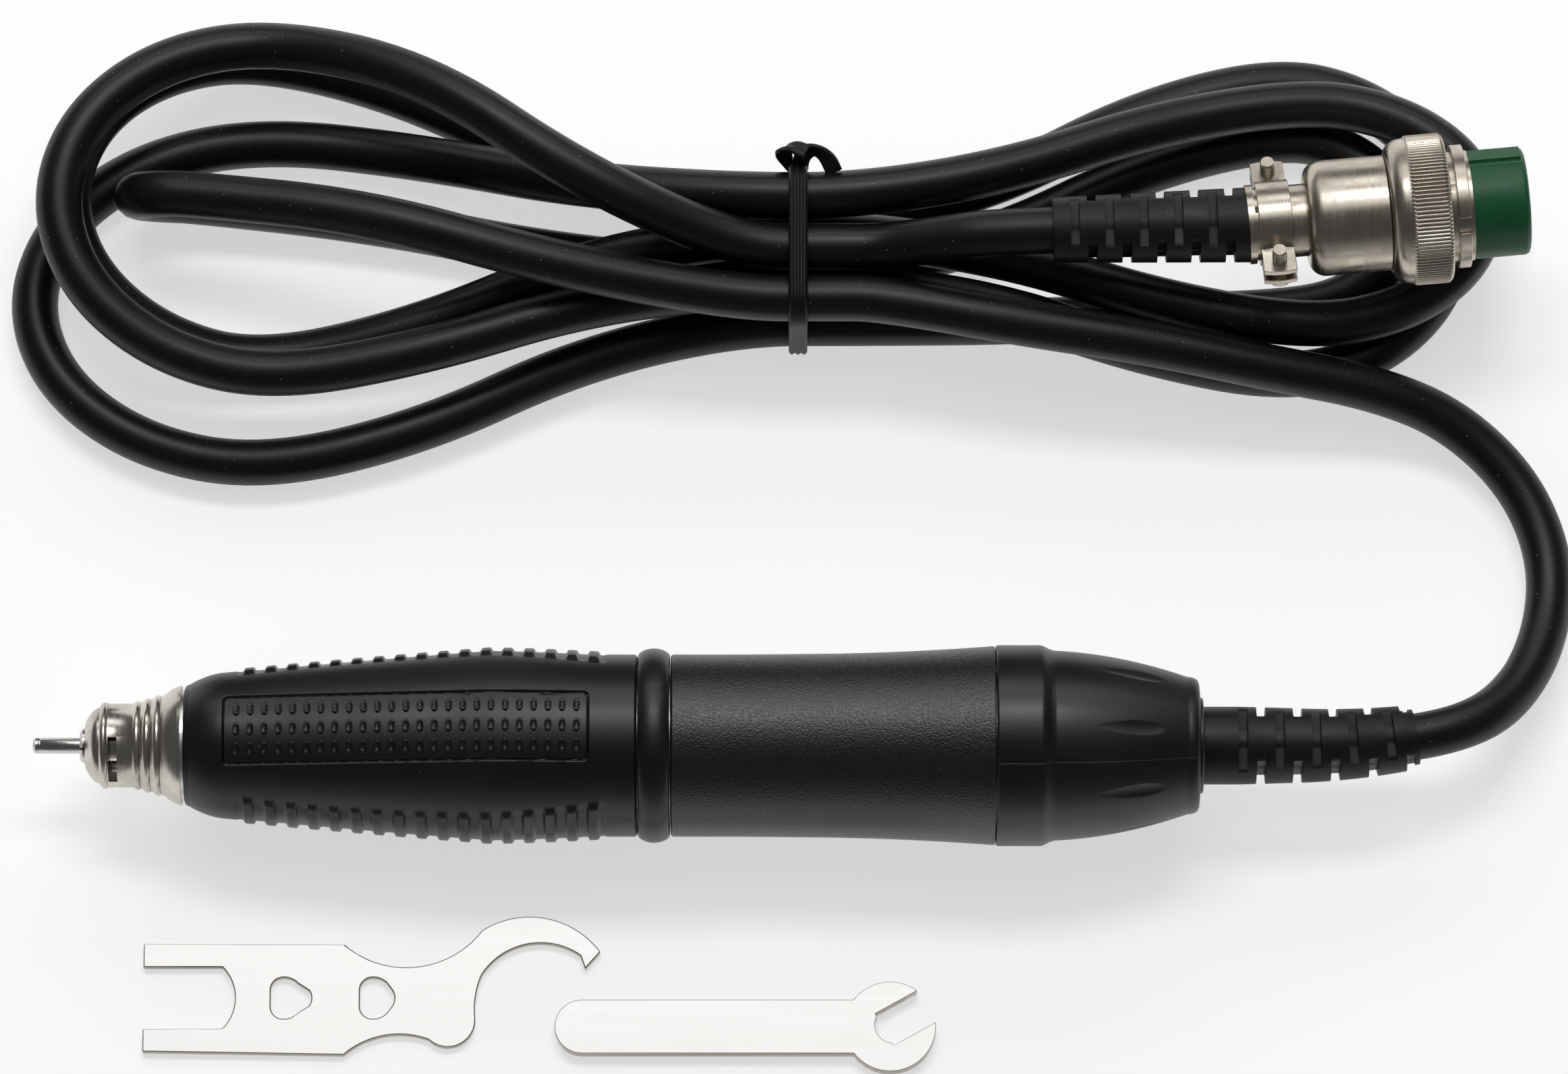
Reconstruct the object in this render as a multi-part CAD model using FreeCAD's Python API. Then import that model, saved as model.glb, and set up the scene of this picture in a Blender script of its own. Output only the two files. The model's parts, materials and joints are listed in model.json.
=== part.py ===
import FreeCAD, Part
import math
import os

# Micromotor handpiece with its cable, its round plug and two flat spanners, in millimetres.
# The spindle axis is X, the chuck's mouth is at the origin and the free shank points to -X.
# Z is up. Everything rests on one level surface under the handpiece's largest diameter.

Vec = FreeCAD.Vector

# Fits
running_gap = 0.05       # radial gap of a turning or sliding pair
sliding_gap = 0.15       # loose gap between a cord and the hole round it
side_gap = 0.1           # gap between the end faces of pieces that turn past each other
press_gap = 0.01         # how far a pressed or screwed-in piece stands clear in its seat
rest_gap = 0.3           # gap between soft pieces that lie on each other
edge_break = 0.2         # small bevel or step on an edge
through = 40.0           # length of a cutting tool that goes right through a piece
corner_steps = 6         # straight steps that make up a rounded corner
curve_steps = 10         # straight steps that make up a long shallow curve

# Tool shank and collet
shank_radius = 1.175
shank_held_radius = 1.155   # at the inner end; the held stretch tapers to it
shank_free = 7.0
shank_inside = 19.5
shank_tip = 0.35
shank_groove_from_tip = 0.9
shank_groove_width = 0.25
shank_groove_depth = 0.12
mouth_flare = 0.4
collet_hub_radius = 2.6
collet_hub_length = 1.0
collet_radius = 2.15
collet_length = 26.0
collet_slot_width = 0.4
collet_slot_length = 15.0
collet_slot_count = 3
collet_thread_radius = 1.6
collet_thread_length = 5.5

# Chuck spindle and what closes the collet
spindle_radius = 3.0
spindle_nose = 1.4
spindle_wall_at = 31.0
spindle_wall = 3.0
flange_radius = 4.0      # flange in front of the first bearing
flange_length = 3.0
drawbar_radius = 1.4
drawbar_head_radius = 1.95
drawbar_head_at = 42.0
drawbar_head_length = 4.0
spring_count = 6
spring_thickness = 0.4
spring_cone = 0.45
cross_pin_radius = 0.6
thrust_ring_radius = 4.6
thrust_ring_length = 3.0
release_travel = 1.0

# Bearings: three alike on the spindle, two on the motor's shaft
bearing_outer_radius = 6.0
bearing_width = 4.0
bearing_wall = 0.8
race_depth = 0.35        # depth of a race, in ball radii
spindle_ball_count = 11
motor_ball_count = 8
bearing_places = [12.2, 16.8, 52.6]
spacer_length = 0.6

# Nose
cap_start = 0.8
cap_front_radius = 3.5
cap_rim_radius = 6.4
cap_length = 3.4
cap_bead_length = 1.2
cap_dome_radius = 5.6
cap_inner_gap = 0.4
cap_dome_bulge = 0.55
cap_rim_rise = 0.35
cap_rim_bulge = 0.3
barrel_radius = 6.2
window_start = 4.35
window_length = 1.3
window_half_height = 3.6
window_centre_angle = 37.0
barrel_plain_end = 7.9
bead_length = 1.0
bead_pitch = 1.5
bead_height = 0.25
bead_count = 3
bead_growth = 0.42
flare_start = 12.4
flare_end = 15.0
flare_radius = 8.9
flare_bulge = 0.2
nose_bore = 4.3

# Motor tube, whose radius the grip, the ring, the housing and the rear cap are built on
motor_tube_radius = 11.8

# Inner tube that carries the bearings
head_tube_radius = 8.2
head_tube_bore = 7.0
head_tube_rear_bore = 6.5

# Grip
grip_front = 15.5
grip_end = 82.2
grip_lip_radius = 9.05
grip_round_end = 21.5
grip_round_radius = 10.8
grip_swell_at = 60.5
grip_swell_radius = motor_tube_radius + 2.3
grip_back_at = 77.0
grip_back_radius = motor_tube_radius + 1.65
grip_lip_length = 0.7
grip_lip_bulge = 0.35
grip_side_bulge = 0.1
grip_mid_bore = 10.4
grip_mid_bore_at = 41.0
grip_rear_bore_at = 58.0
head_step = 4.0          # how far behind its rear bore's start the grip may swing over the tube's step

# What the turning grip moves
twist_range = 60.0
cam_ring_length = 10.0
cam_pin_radius = 0.9
cam_pin_count = 2
cam_slot_steps = 16
collar_radius = 6.85
collar_length = 6.0
collar_flange = 1.6

# Roll ring
roll_ring_end = 87.0
roll_ring_radius = motor_tube_radius + 2.55
roll_ring_edge_radius = motor_tube_radius + 1.8

# Motor housing
housing_end = 135.0
housing_front_radius = motor_tube_radius + 1.65
housing_plain_end = 100.0
housing_plain_growth = 0.04
housing_mid_at = 112.0
housing_mid_radius = motor_tube_radius + 1.8
housing_rear_radius = motor_tube_radius + 2.9
housing_hollow = -0.16
motor_tube_wall = 0.8
motor_tube_front = 68.0
motor_tube_end = 138.0

# Motor
bell_length = 6.0
bell_lip = 1.2           # room round the shaft in the end plates
motor_bearing_outer = 6.5
motor_bearing_inner = 2.5
shaft_radius = 2.0
shaft_start = 62.0
shaft_end = 123.0
magnet_radius = 5.5
magnet_start = 80.0
magnet_length = 26.0
stator_bore = 8.1
stator_length = 30.0
winding_bore = 6.0
winding_length = 36.0
winding_lobes = 6
winding_groove = 0.35
sensor_magnet_radius = 4.5
sensor_magnet_length = 3.0
sensor_magnet_at = 112.0
rear_bell_at = 117.0
board_gap = 2.0
board_thickness = 1.2
board_radius = 9.5
board_post_count = 3
lead_count = 8
lead_radius = 0.45
lead_circle = 2.3
lead_straight = 5.0
lead_fan = 2.5           # straight run of a plug conductor at each end
coupling_radius = 5.6
coupling_web = 2.0
coupling_claw = 3.0
coupling_claws = 3
coupling_play = 4.0      # degrees between neighbouring claws

# Rear cap
cap_band_radius = housing_rear_radius + 0.14
cap_band_edge = 0.8
cap_band_drop = 0.25
cap_band_end = 142.0
cap_step_end = 143.3
cap_step_radius = cap_band_radius - 0.79
cap_taper_radius = 10.15
cap_taper_end = 163.3
cap_taper_bulge = 0.75
cap_end = 165.0
cap_end_radius = 9.2
cap_end_bulge = 0.35
cap_wall = 2.0
boss_radius = 7.1
boss_length = 0.6
boss_neck_radius = 6.4
clamp_plate_length = 3.0
clamp_plate_at = 151.0
clamp_plate_margin = 3.0
clamp_plate_screw_reach = 4.0
clamp_screw_radius = 1.0

# Strain relief of the handpiece
relief_radius = 5.75
relief_end_radius = 4.85
relief_straight_end = 180.0
relief_length = 32.0
relief_taper_start = 171.0
relief_taper_drop = 0.25
relief_mid_extra = 0.35
relief_foot_length = 1.5
relief_foot_rim = 0.8
relief_bore_steps = 4
relief_bend = 9.0
relief_end_ring = 1.6
relief_end_ring_radius = 4.2
relief_first_slot = 6.4
relief_slot_pitch = 5.4
relief_slot_width = 1.3
relief_slot_count = 5
relief_web = 3.4

# Cable
cable_radius = 3.5
inner_cable_start = 147.0
surface_drop = cap_band_radius   # the surface lies this far under the spindle axis

# Plug, along its own axis from the rear face of its neck
plug_place = Vec(172.5, 76.9, 25.44 - surface_drop)
plug_yaw = 5.2
plug_relief_yaw = 1.6
plug_relief_length = 28.8
plug_relief_radius = 5.6
plug_relief_end_radius = 4.85
plug_relief_first_slot = 3.2
plug_relief_slot_pitch = 5.1
plug_relief_slot_count = 5
neck_radius = 5.4
neck_length = 9.2
neck_flange_radius = 5.9
neck_flange_length = 1.0
saddle_start = 1.5
saddle_width = 4.9
saddle_thickness = 0.85
saddle_roll = -23.0
saddle_ear = 8.4
saddle_ear_reach = 10.6
saddle_split = 1.3
clamp_thread_radius = 0.95
clamp_head_radius = 1.7
clamp_head_height = 1.2
clamp_thread_tail = 2.6
clamp_slot_half_width = 0.25
clamp_slot_share = 0.55   # how deep the slot is, in head heights
shell_start = 8.7
shell_end = 20.8
shell_radius = 8.6
shell_round = 2.6
shell_wall = 1.2
shell_groove_radius = 8.0
shell_groove_end = 22.2
nut_start = 21.0
nut_length = 8.8
nut_radius = 11.15
nut_shoulder = 3.0
nut_rim = 1.1
nut_shoulder_drop = 0.25
nut_shoulder_rise = 2.15
nut_edge = 0.5
nut_bore = 8.75
plug_barrel_radius = 8.2
plug_barrel_collar = 0.35
plug_barrel_collar_length = 1.0
plug_barrel_bore = 7.1
plug_barrel_end = 33.2
ring_start = 30.8
ring_length = 1.8
ring_radius = 9.15
ring_gap = 2.4
ring_gap_angle = 35.0
insulator_radius = 8.0
insulator_end = 41.6
insulator_inner = 7.0
insulator_inner_start = 24.0
insulator_round = 0.7
key_width = 3.0
key_height = 0.5
key_angle = -44.0
contact_count = 7
contact_circle = 4.7
contact_radius = 0.9
contact_bore = 0.55
contact_length = 15.0
contact_sunk = 0.6

# Cable tie round the hank
tie_width = 2.8
tie_thickness = 1.1
tie_tail_radius = 0.75

# Hank of cable: where the tie holds it, and the places of its eight strands there
tie_x = 105.9
tie_y = 75.5
strand_pitch = 7.95
layer_pitch = 6.95
waist = 9.0
run_steps = 3
bulb_steps = 6

# Places of the free stretches and of the loops; the last figure of a place is its height above the surface
lead_exit = 8.0          # straight run out of the handpiece's relief
lead_entry = 3.0         # how far outside the waist the lead turns into the tie
lead_places = [
    (213.0, 9.8, 9.34),
    (217.6, 20.5, 5.34),
    (218.2, 32.0, 3.64),
    (213.5, 43.5, 3.64),
    (203.5, 52.5, 5.84),
    (191.5, 56.3, 9.64),
    (176.5, 58.2, 13.24),
    (158.0, 61.3, 16.64),
    (139.5, 63.6, 18.74),
]
plug_lead_entry = 3.0
plug_lead_exit = 9.0
plug_lead_places = [(126.0, 75.5, 22.04)]
tie_tails = [
    # from the knot behind the bundle's top
    [(0.3, 0, 0.4), (1.0, 1.6, 2.8), (2.0, 1.4, 5.4), (4.2, -0.6, 6.6), (6.4, -2.4, 5.9)],
    [(-0.6, 0, -1.8), (-1.2, 1.8, 0.4), (-1.6, 2.0, 3.4), (-0.8, 0.2, 6.2), (1.0, -2.0, 7.6)],
]
strand_rows = [
    ["low far", "low middle", "low near"],
    ["mid far", "mid near"],
    ["top far", "top middle", "top near"],
]

hank_loops = [
    # side, leaves by, comes back by, widest x,
    # (y, height) out, (far x, height), (y, height) back, lifts of the runs
    (-1, "top near", "low middle", 15.0, (83.3, 20.04), (6.8, 13.44), (86.4, 5.84), 4.8, -1.5),
    (1, "low middle", "low near", 178.5, (97.2, 3.84), (196.8, 3.74), (69.3, 4.44), -0.4, -1.1),
    (-1, "low near", "top far", 25.7, (45.1, 3.74), (-9.9, 3.64), (96.6, 3.84), 0.1, -2.6),
    (1, "top far", "mid far", 182.0, (100.5, 11.44), (209.0, 11.34), (64.9, 11.44), 0.0, 1.5),
    (-1, "mid far", "low far", 25.2, (61.2, 4.04), (-4.5, 11.44), (109.6, 4.04), 2.3, -0.6),
    (1, "low far", "mid near", 178.0, (106.0, 4.44), (205.2, 3.64), (58.8, 4.34), 0.5, 2.7),
    (-1, "mid near", "top middle", 27.2, (56.5, 12.84), (-5.4, 18.84), (108.9, 14.64), 2.8, 11.2),
]

# Spanners
combination_place = Vec(8.95, -35.2, 0)
combination_thickness = 1.5
slot_half_width = 4.65
slot_depth = 11.7
open_end_place = Vec(119.5, -39.7, 0)
open_end_thickness = 2.5
open_end_length = 49.6
open_end_half_width = 4.05
open_end_head_radius = 6.75
jaw_half_width = 2.73
jaw_depth = 2.2
jaw_angle = 29.5
jaw_flat_share = 0.45     # where the jaw's flats begin, in half widths behind the head's middle


def revolve(points):
    """Solid of revolution about X from a closed outline of (x, radius) points."""
    corners = [Vec(x, 0, r) for x, r in points]
    face = Part.Face(Part.makePolygon(corners + corners[:1]))
    return face.revolve(Vec(0, 0, 0), Vec(1, 0, 0), 360)


def rod(start, end, radius):
    return Part.makeCylinder(radius, end - start, Vec(start, 0, 0), Vec(1, 0, 0))


def tube(start, end, inner, outer):
    return rod(start, end, outer).cut(rod(start - 1, end + 1, inner))


def block(low, high):
    size = high - low
    return Part.makeBox(size.x, size.y, size.z, low)


def around_x(shape, angle):
    turned = shape.copy()
    turned.rotate(Vec(0, 0, 0), Vec(1, 0, 0), angle)
    return turned


def spread(shape, count, start=0.0):
    """Copies of a shape spaced evenly round the X axis."""
    return [around_x(shape, start + 360.0 * k / count) for k in range(count)]


def arc_points(start, end, bulge, steps):
    """Points of a shallow arc from start to end that stands out by bulge at its middle."""
    points = []
    for k in range(steps + 1):
        f = k / steps
        lift = bulge * 4 * f * (1 - f)
        points.append((start[0] + (end[0] - start[0]) * f, start[1] + (end[1] - start[1]) * f + lift))
    return points


# Tool shank, collet and what draws the collet in

def tool_shank():
    tip = -shank_free
    groove = tip + shank_groove_from_tip
    return revolve([
        (tip, 0),
        (tip, shank_radius - shank_tip),
        (tip + shank_tip, shank_radius),
        (groove, shank_radius),
        (groove + shank_groove_width / 2, shank_radius - shank_groove_depth),
        (groove + shank_groove_width, shank_radius),
        (0, shank_radius),
        (shank_inside, shank_held_radius),
        (shank_inside, 0),
    ])


def collet():
    body = revolve([
        (0, shank_radius + running_gap),
        (0, collet_hub_radius - mouth_flare),
        (mouth_flare, collet_hub_radius),
        (collet_hub_length, collet_hub_radius),
        (collet_hub_length + collet_hub_radius - collet_radius, collet_radius),
        (collet_length, collet_radius),
        (collet_length, collet_thread_radius + running_gap),
        (collet_length - collet_thread_length, collet_thread_radius + running_gap),
        (collet_length - collet_thread_length, shank_radius + running_gap),
    ])
    slit = block(
        Vec(-1, -collet_slot_width / 2, 0),
        Vec(collet_slot_length, collet_slot_width / 2, collet_hub_radius + 1),
    )
    for cut in spread(slit, collet_slot_count, 25.0):
        body = body.cut(cut)
    return body


def drawbar():
    thread_start = collet_length - collet_thread_length
    neck = collet_length + side_gap
    tail = drawbar_head_at + drawbar_head_length
    body = revolve([
        (thread_start, 0),
        (thread_start, collet_thread_radius),
        (neck, collet_thread_radius),
        (neck, drawbar_radius),
        (drawbar_head_at, drawbar_radius),
        (drawbar_head_at, drawbar_head_radius),
        (tail, drawbar_head_radius),
        (tail, 0),
    ])
    hole = Part.makeCylinder(
        cross_pin_radius + running_gap,
        2 * spindle_radius,
        Vec(cross_pin_place(), 0, -spindle_radius),
    )
    return body.cut(hole)


def cross_pin_place():
    return drawbar_head_at + drawbar_head_length / 2


def drawbar_springs():
    """Disc springs stacked in pairs, face to face, between the spindle's wall and the drawbar's head."""
    discs = []
    chamber_start = spindle_wall_at + spindle_wall
    pitch = (drawbar_head_at - chamber_start) / spring_count
    inner = drawbar_radius + sliding_gap
    outer = drawbar_head_radius + running_gap
    for k in range(spring_count):
        start = chamber_start + pitch * k + (pitch - spring_thickness - spring_cone) / 2
        rise = (0, spring_cone) if k % 2 == 0 else (spring_cone, 0)
        discs.append(revolve([
            (start + rise[0], inner),
            (start + rise[1], outer),
            (start + rise[1] + spring_thickness, outer),
            (start + rise[0] + spring_thickness, inner),
        ]))
    return Part.makeCompound(discs)


def cross_pin():
    reach = thrust_ring_radius - rest_gap
    return Part.makeCylinder(cross_pin_radius, 2 * reach, Vec(cross_pin_place(), 0, -reach))


def thrust_ring():
    start = cross_pin_place() - thrust_ring_length / 2
    ring = tube(start, start + thrust_ring_length, spindle_radius + running_gap, thrust_ring_radius)
    hole = Part.makeCylinder(
        cross_pin_radius + running_gap,
        2 * thrust_ring_radius + 2,
        Vec(cross_pin_place(), 0, -thrust_ring_radius - 1),
    )
    return ring.cut(hole)


def spindle_end():
    return coupling_start() + coupling_web


def chuck_spindle():
    wall_end = spindle_wall_at + spindle_wall
    outer = rod(spindle_nose, spindle_end(), spindle_radius)
    flange_start = bearing_places[0] - flange_length
    outer = outer.fuse(rod(flange_start, bearing_places[0], flange_radius))
    bore = collet_radius + running_gap
    outer = outer.cut(rod(0, spindle_wall_at, bore))
    outer = outer.cut(rod(0, wall_end + 1, drawbar_radius + running_gap))
    outer = outer.cut(rod(wall_end, spindle_end() + 1, bore))
    cone_end = spindle_nose + collet_hub_radius - collet_radius
    outer = outer.cut(revolve([(0, 0), (0, bore + cone_end), (cone_end, bore), (cone_end, 0)]))
    slot_half = cross_pin_radius + running_gap
    pin = cross_pin_place()
    slot = block(
        Vec(pin - release_travel - slot_half - side_gap, -slot_half, -spindle_radius - 1),
        Vec(pin + slot_half, slot_half, spindle_radius + 1),
    )
    return outer.cut(slot).removeSplitter()


# Spindle bearings

def bearing_rings(places, inner, outer, side):
    """The outer or the inner rings of equal ball bearings that stand at the given places."""
    rings = []
    middle = (inner + outer) / 2
    ball = (outer - inner) / 2 - bearing_wall
    shoulder = race_depth * ball
    for place in places:
        if side == "outer":
            ring = tube(place, place + bearing_width, outer - bearing_wall - shoulder, outer)
        else:
            ring = tube(place, place + bearing_width, inner, inner + bearing_wall + shoulder)
        centre = Vec(place + bearing_width / 2, 0, 0)
        race = Part.makeTorus(middle, ball + running_gap / 2, centre, Vec(1, 0, 0))
        rings.append(ring.cut(race))
    return Part.makeCompound(rings)


def bearing_balls(places, inner, outer, count):
    middle = (inner + outer) / 2
    ball = (outer - inner) / 2 - bearing_wall
    balls = []
    for place in places:
        first = Part.makeSphere(ball, Vec(place + bearing_width / 2, 0, middle))
        balls.extend(spread(first, count))
    return Part.makeCompound(balls)


def spindle_outer_rings():
    return bearing_rings(bearing_places, spindle_radius, bearing_outer_radius, "outer")


def spindle_inner_rings():
    return bearing_rings(bearing_places, spindle_radius, bearing_outer_radius, "inner")


def spindle_balls():
    return bearing_balls(bearing_places, spindle_radius, bearing_outer_radius, spindle_ball_count)


def bearing_spacer():
    start = bearing_places[0] + bearing_width
    wall = bearing_wall + spacer_length
    return tube(start, bearing_places[1], bearing_outer_radius - wall, bearing_outer_radius)


def bearing_carrier():
    """Ring that holds the rear spindle bearing in the inner tube, with a lip behind the bearing."""
    start = bearing_places[2]
    end = start + bearing_width
    outer = head_tube_bore - press_gap
    ring = tube(start, end + bearing_wall, bearing_outer_radius, outer)
    lip = tube(end, end + bearing_wall, bearing_outer_radius - bearing_wall, outer)
    return ring.fuse(lip).removeSplitter()


# Nose

def nose_cap():
    end = cap_start + cap_length
    bead = end - cap_bead_length
    dome = arc_points((cap_start, cap_front_radius), (bead, cap_dome_radius), cap_dome_bulge, curve_steps)
    outline = [(cap_start, collet_hub_radius + side_gap)]
    outline += dome
    outline += arc_points(
        (bead, cap_dome_radius + cap_rim_rise),
        (end - edge_break / 2, cap_rim_radius - edge_break),
        cap_rim_bulge,
        corner_steps,
    )
    outline += [
        (end, cap_rim_radius - cap_rim_bulge),
        (end, nose_bore),
        (bead, nose_bore),
        (spindle_nose - side_gap, spindle_radius + cap_inner_gap),
        (spindle_nose - side_gap, collet_hub_radius + side_gap),
    ]
    return revolve(outline)


def bead_places():
    return [barrel_plain_end + bead_pitch * k for k in range(bead_count)]


def nose_barrel():
    start = cap_start + cap_length
    outline = [(start, nose_bore), (start, barrel_radius), (barrel_plain_end, barrel_radius)]
    for k, place in enumerate(bead_places()):
        base = barrel_radius + bead_growth * k
        bead_end = (place + bead_length, base + bead_height)
        outline += arc_points((place, base), bead_end, bead_height, corner_steps)
        outline.append((place + bead_length, base + bead_height / 2))
        outline.append((place + bead_pitch, base + bead_growth))
    flare_foot = barrel_radius + bead_growth * bead_count
    outline += arc_points((flare_start, flare_foot), (flare_end, flare_radius), flare_bulge, corner_steps)[1:]
    seat = bearing_places[0]
    spigot_end = bearing_places[1] + bearing_width + bearing_wall
    outline += [
        (flare_end, head_tube_bore - press_gap),
        (spigot_end, head_tube_bore - press_gap),
        (spigot_end, bearing_outer_radius),
        (seat, bearing_outer_radius),
        (seat, nose_bore),
    ]
    body = revolve(outline)
    window = block(
        Vec(window_start, -window_half_height, nose_bore - 1.0),
        Vec(window_start + window_length, window_half_height, barrel_radius + 1),
    )
    for angle in (window_centre_angle, window_centre_angle + 180.0):
        body = body.cut(around_x(window, angle))
    return body


# Inner tube and what opens the chuck

def cam_pin_place():
    thrust_end = cross_pin_place() + thrust_ring_length / 2
    return thrust_end + rest_gap + collar_length - 2 * cam_pin_radius


def head_tube():
    rear = motor_tube_front + side_gap
    outline = [
        (flare_end, head_tube_bore),
        (flare_end, head_tube_radius),
        (grip_rear_bore_at + head_step / 2, head_tube_radius),
        (grip_rear_bore_at + head_step, motor_tube_radius),
        (rear, motor_tube_radius),
        (rear, head_tube_rear_bore),
        (coupling_start(), head_tube_rear_bore),
        (coupling_start(), head_tube_bore),
    ]
    body = revolve(outline)
    half = cam_pin_radius + running_gap
    pin = cam_pin_place()
    slot = block(
        Vec(pin - release_travel - half - side_gap, -half, 0),
        Vec(pin + half, half, head_tube_radius + 1),
    )
    for cut in spread(slot, cam_pin_count):
        body = body.cut(cut)
    return body


def release_collar():
    """Slides inside the head tube and pushes the thrust ring forward."""
    start = cross_pin_place() + thrust_ring_length / 2 + rest_gap
    end = start + collar_length
    inner = spindle_radius + sliding_gap
    body = revolve([
        (start, inner),
        (start, collar_radius),
        (end, collar_radius),
        (end, collar_radius - collar_flange),
        (start + collar_flange, collar_radius - collar_flange),
        (start + collar_flange, inner),
    ])
    hole = Part.makeCylinder(cam_pin_radius, collar_radius + 1, Vec(cam_pin_place(), 0, 0))
    for cut in spread(hole, cam_pin_count):
        body = body.cut(cut)
    return body


def cam_pins():
    """Pins that stand out of the collar, through the inner tube, into the cam ring's slots."""
    start = collar_radius - collar_flange
    reach = grip_mid_bore - start - 2 * running_gap
    pin = Part.makeCylinder(cam_pin_radius, reach, Vec(cam_pin_place(), 0, start))
    return Part.makeCompound(spread(pin, cam_pin_count))


def cam_ring():
    """Ring in the grip whose slanted slots push the pins forward as the grip turns."""
    middle = cam_pin_place() - release_travel / 2
    inner = head_tube_radius + running_gap
    body = tube(middle - cam_ring_length / 2, middle + cam_ring_length / 2, inner, grip_mid_bore)
    for k in range(cam_slot_steps + 1):
        part = k / cam_slot_steps
        hole = Part.makeCylinder(
            cam_pin_radius + 2 * running_gap,
            grip_mid_bore + 1,
            Vec(cam_pin_place() - release_travel * part, 0, 0),
        )
        for cut in spread(hole, cam_pin_count, -twist_range * part):
            body = body.cut(cut)
    return body


def grip_sleeve():
    lip = (grip_front + grip_lip_length, grip_lip_radius)
    rounded = (grip_round_end, grip_round_radius)
    swell = (grip_swell_at, grip_swell_radius)
    back = (grip_back_at, grip_back_radius)
    front_bore = head_tube_radius + running_gap
    rear_bore = motor_tube_radius + running_gap
    outline = [(grip_front, front_bore), (grip_front, grip_lip_radius)]
    outline += arc_points(lip, rounded, grip_lip_bulge, curve_steps)
    outline += arc_points(rounded, swell, grip_side_bulge, curve_steps)[1:]
    outline += arc_points(swell, back, grip_side_bulge, corner_steps)[1:]
    outline += [
        (grip_end, grip_back_radius),
        (grip_end, rear_bore),
        (grip_rear_bore_at, rear_bore),
        (grip_rear_bore_at, grip_mid_bore),
        (grip_mid_bore_at, grip_mid_bore),
        (grip_mid_bore_at, front_bore),
    ]
    return revolve(outline)


def roll_ring():
    rear_bore = motor_tube_radius + running_gap
    outline = [(grip_end, rear_bore), (grip_end, roll_ring_edge_radius)]
    outline += arc_points(
        (grip_end + edge_break, roll_ring_edge_radius),
        (roll_ring_end - edge_break, roll_ring_edge_radius),
        roll_ring_radius - roll_ring_edge_radius,
        curve_steps,
    )
    outline += [(roll_ring_end, roll_ring_edge_radius), (roll_ring_end, rear_bore)]
    return revolve(outline)


# Motor

def coupling_start():
    return bearing_places[2] + bearing_width + bearing_wall + rest_gap


def coupling_half(front):
    """Half of the claw coupling; the front one sits on the spindle, the rear one on the motor shaft."""
    web_end = coupling_start() + coupling_web
    rear = web_end + coupling_claw + side_gap
    if front:
        web = tube(coupling_start(), web_end, spindle_radius, coupling_radius)
        claw_start, claw_end = web_end, rear - side_gap
    else:
        web = tube(rear, rear + coupling_web, shaft_radius, coupling_radius)
        claw_start, claw_end = web_end + side_gap, rear
    ring = tube(claw_start, claw_end, spindle_radius + rest_gap, coupling_radius)
    sector = 180.0 / coupling_claws - coupling_play
    wedge = sector_block(claw_start - 1, claw_end + 1, coupling_radius + 2, sector)
    start = 0.0 if front else 180.0 / coupling_claws
    body = web
    for cut in spread(wedge, coupling_claws, start):
        body = body.fuse(ring.common(cut))
    return body.removeSplitter()


def coupling_front():
    return coupling_half(True)


def coupling_rear():
    return coupling_half(False)


def sector_block(start, end, radius, angle):
    """Prism round the X axis whose section is a wedge of the given angle."""
    half = math.radians(angle / 2)
    corners = [
        Vec(start, 0, 0),
        Vec(start, -radius * math.sin(half), radius * math.cos(half)),
        Vec(start, 0, radius / math.cos(half)),
        Vec(start, radius * math.sin(half), radius * math.cos(half)),
    ]
    face = Part.Face(Part.makePolygon(corners + corners[:1]))
    return face.extrude(Vec(end - start, 0, 0))


def motor_bearing_places():
    return [motor_tube_front + bell_length - bearing_width, rear_bell_at]


def motor_outer_rings():
    return bearing_rings(motor_bearing_places(), motor_bearing_inner, motor_bearing_outer, "outer")


def motor_inner_rings():
    return bearing_rings(motor_bearing_places(), motor_bearing_inner, motor_bearing_outer, "inner")


def motor_balls():
    return bearing_balls(motor_bearing_places(), motor_bearing_inner, motor_bearing_outer, motor_ball_count)


def front_bell():
    start = motor_tube_front + 2 * side_gap
    end = motor_tube_front + bell_length
    outer = motor_tube_radius - motor_tube_wall - press_gap
    bore = motor_bearing_inner + bell_lip
    return revolve([
        (start, bore),
        (start, outer),
        (end, outer),
        (end, motor_bearing_outer),
        (end - bearing_width, motor_bearing_outer),
        (end - bearing_width, bore),
    ])


def rear_bell():
    """End plate of the motor, with three posts that carry the sensor board."""
    start = rear_bell_at
    outer = motor_tube_radius - motor_tube_wall - press_gap
    bore = motor_bearing_inner + bell_lip
    end = start + bell_length
    body = revolve([
        (start, motor_bearing_outer),
        (start, outer),
        (end, outer),
        (end, bore),
        (start + bearing_width, bore),
        (start + bearing_width, motor_bearing_outer),
    ])
    post = rod(end - side_gap, board_place(), clamp_screw_radius)
    post.translate(Vec(0, 0, board_radius - 2 * clamp_screw_radius))
    for post in spread(post, board_post_count):
        body = body.fuse(post)
    return body.removeSplitter()


def motor_shaft():
    places = motor_bearing_places()
    body = rod(shaft_start, shaft_end, shaft_radius)
    journal = rod(places[0], places[1] + bearing_width, motor_bearing_inner)
    return body.fuse(journal).removeSplitter()


def rotor_magnet():
    return tube(magnet_start, magnet_start + magnet_length, motor_bearing_inner, magnet_radius)


def sensor_magnet():
    end = sensor_magnet_at + sensor_magnet_length
    return tube(sensor_magnet_at, end, motor_bearing_inner, sensor_magnet_radius)


def motor_middle():
    return magnet_start + magnet_length / 2


def stator_core():
    half = stator_length / 2
    outer = motor_tube_radius - motor_tube_wall - press_gap
    return tube(motor_middle() - half, motor_middle() + half, stator_bore, outer)


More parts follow.
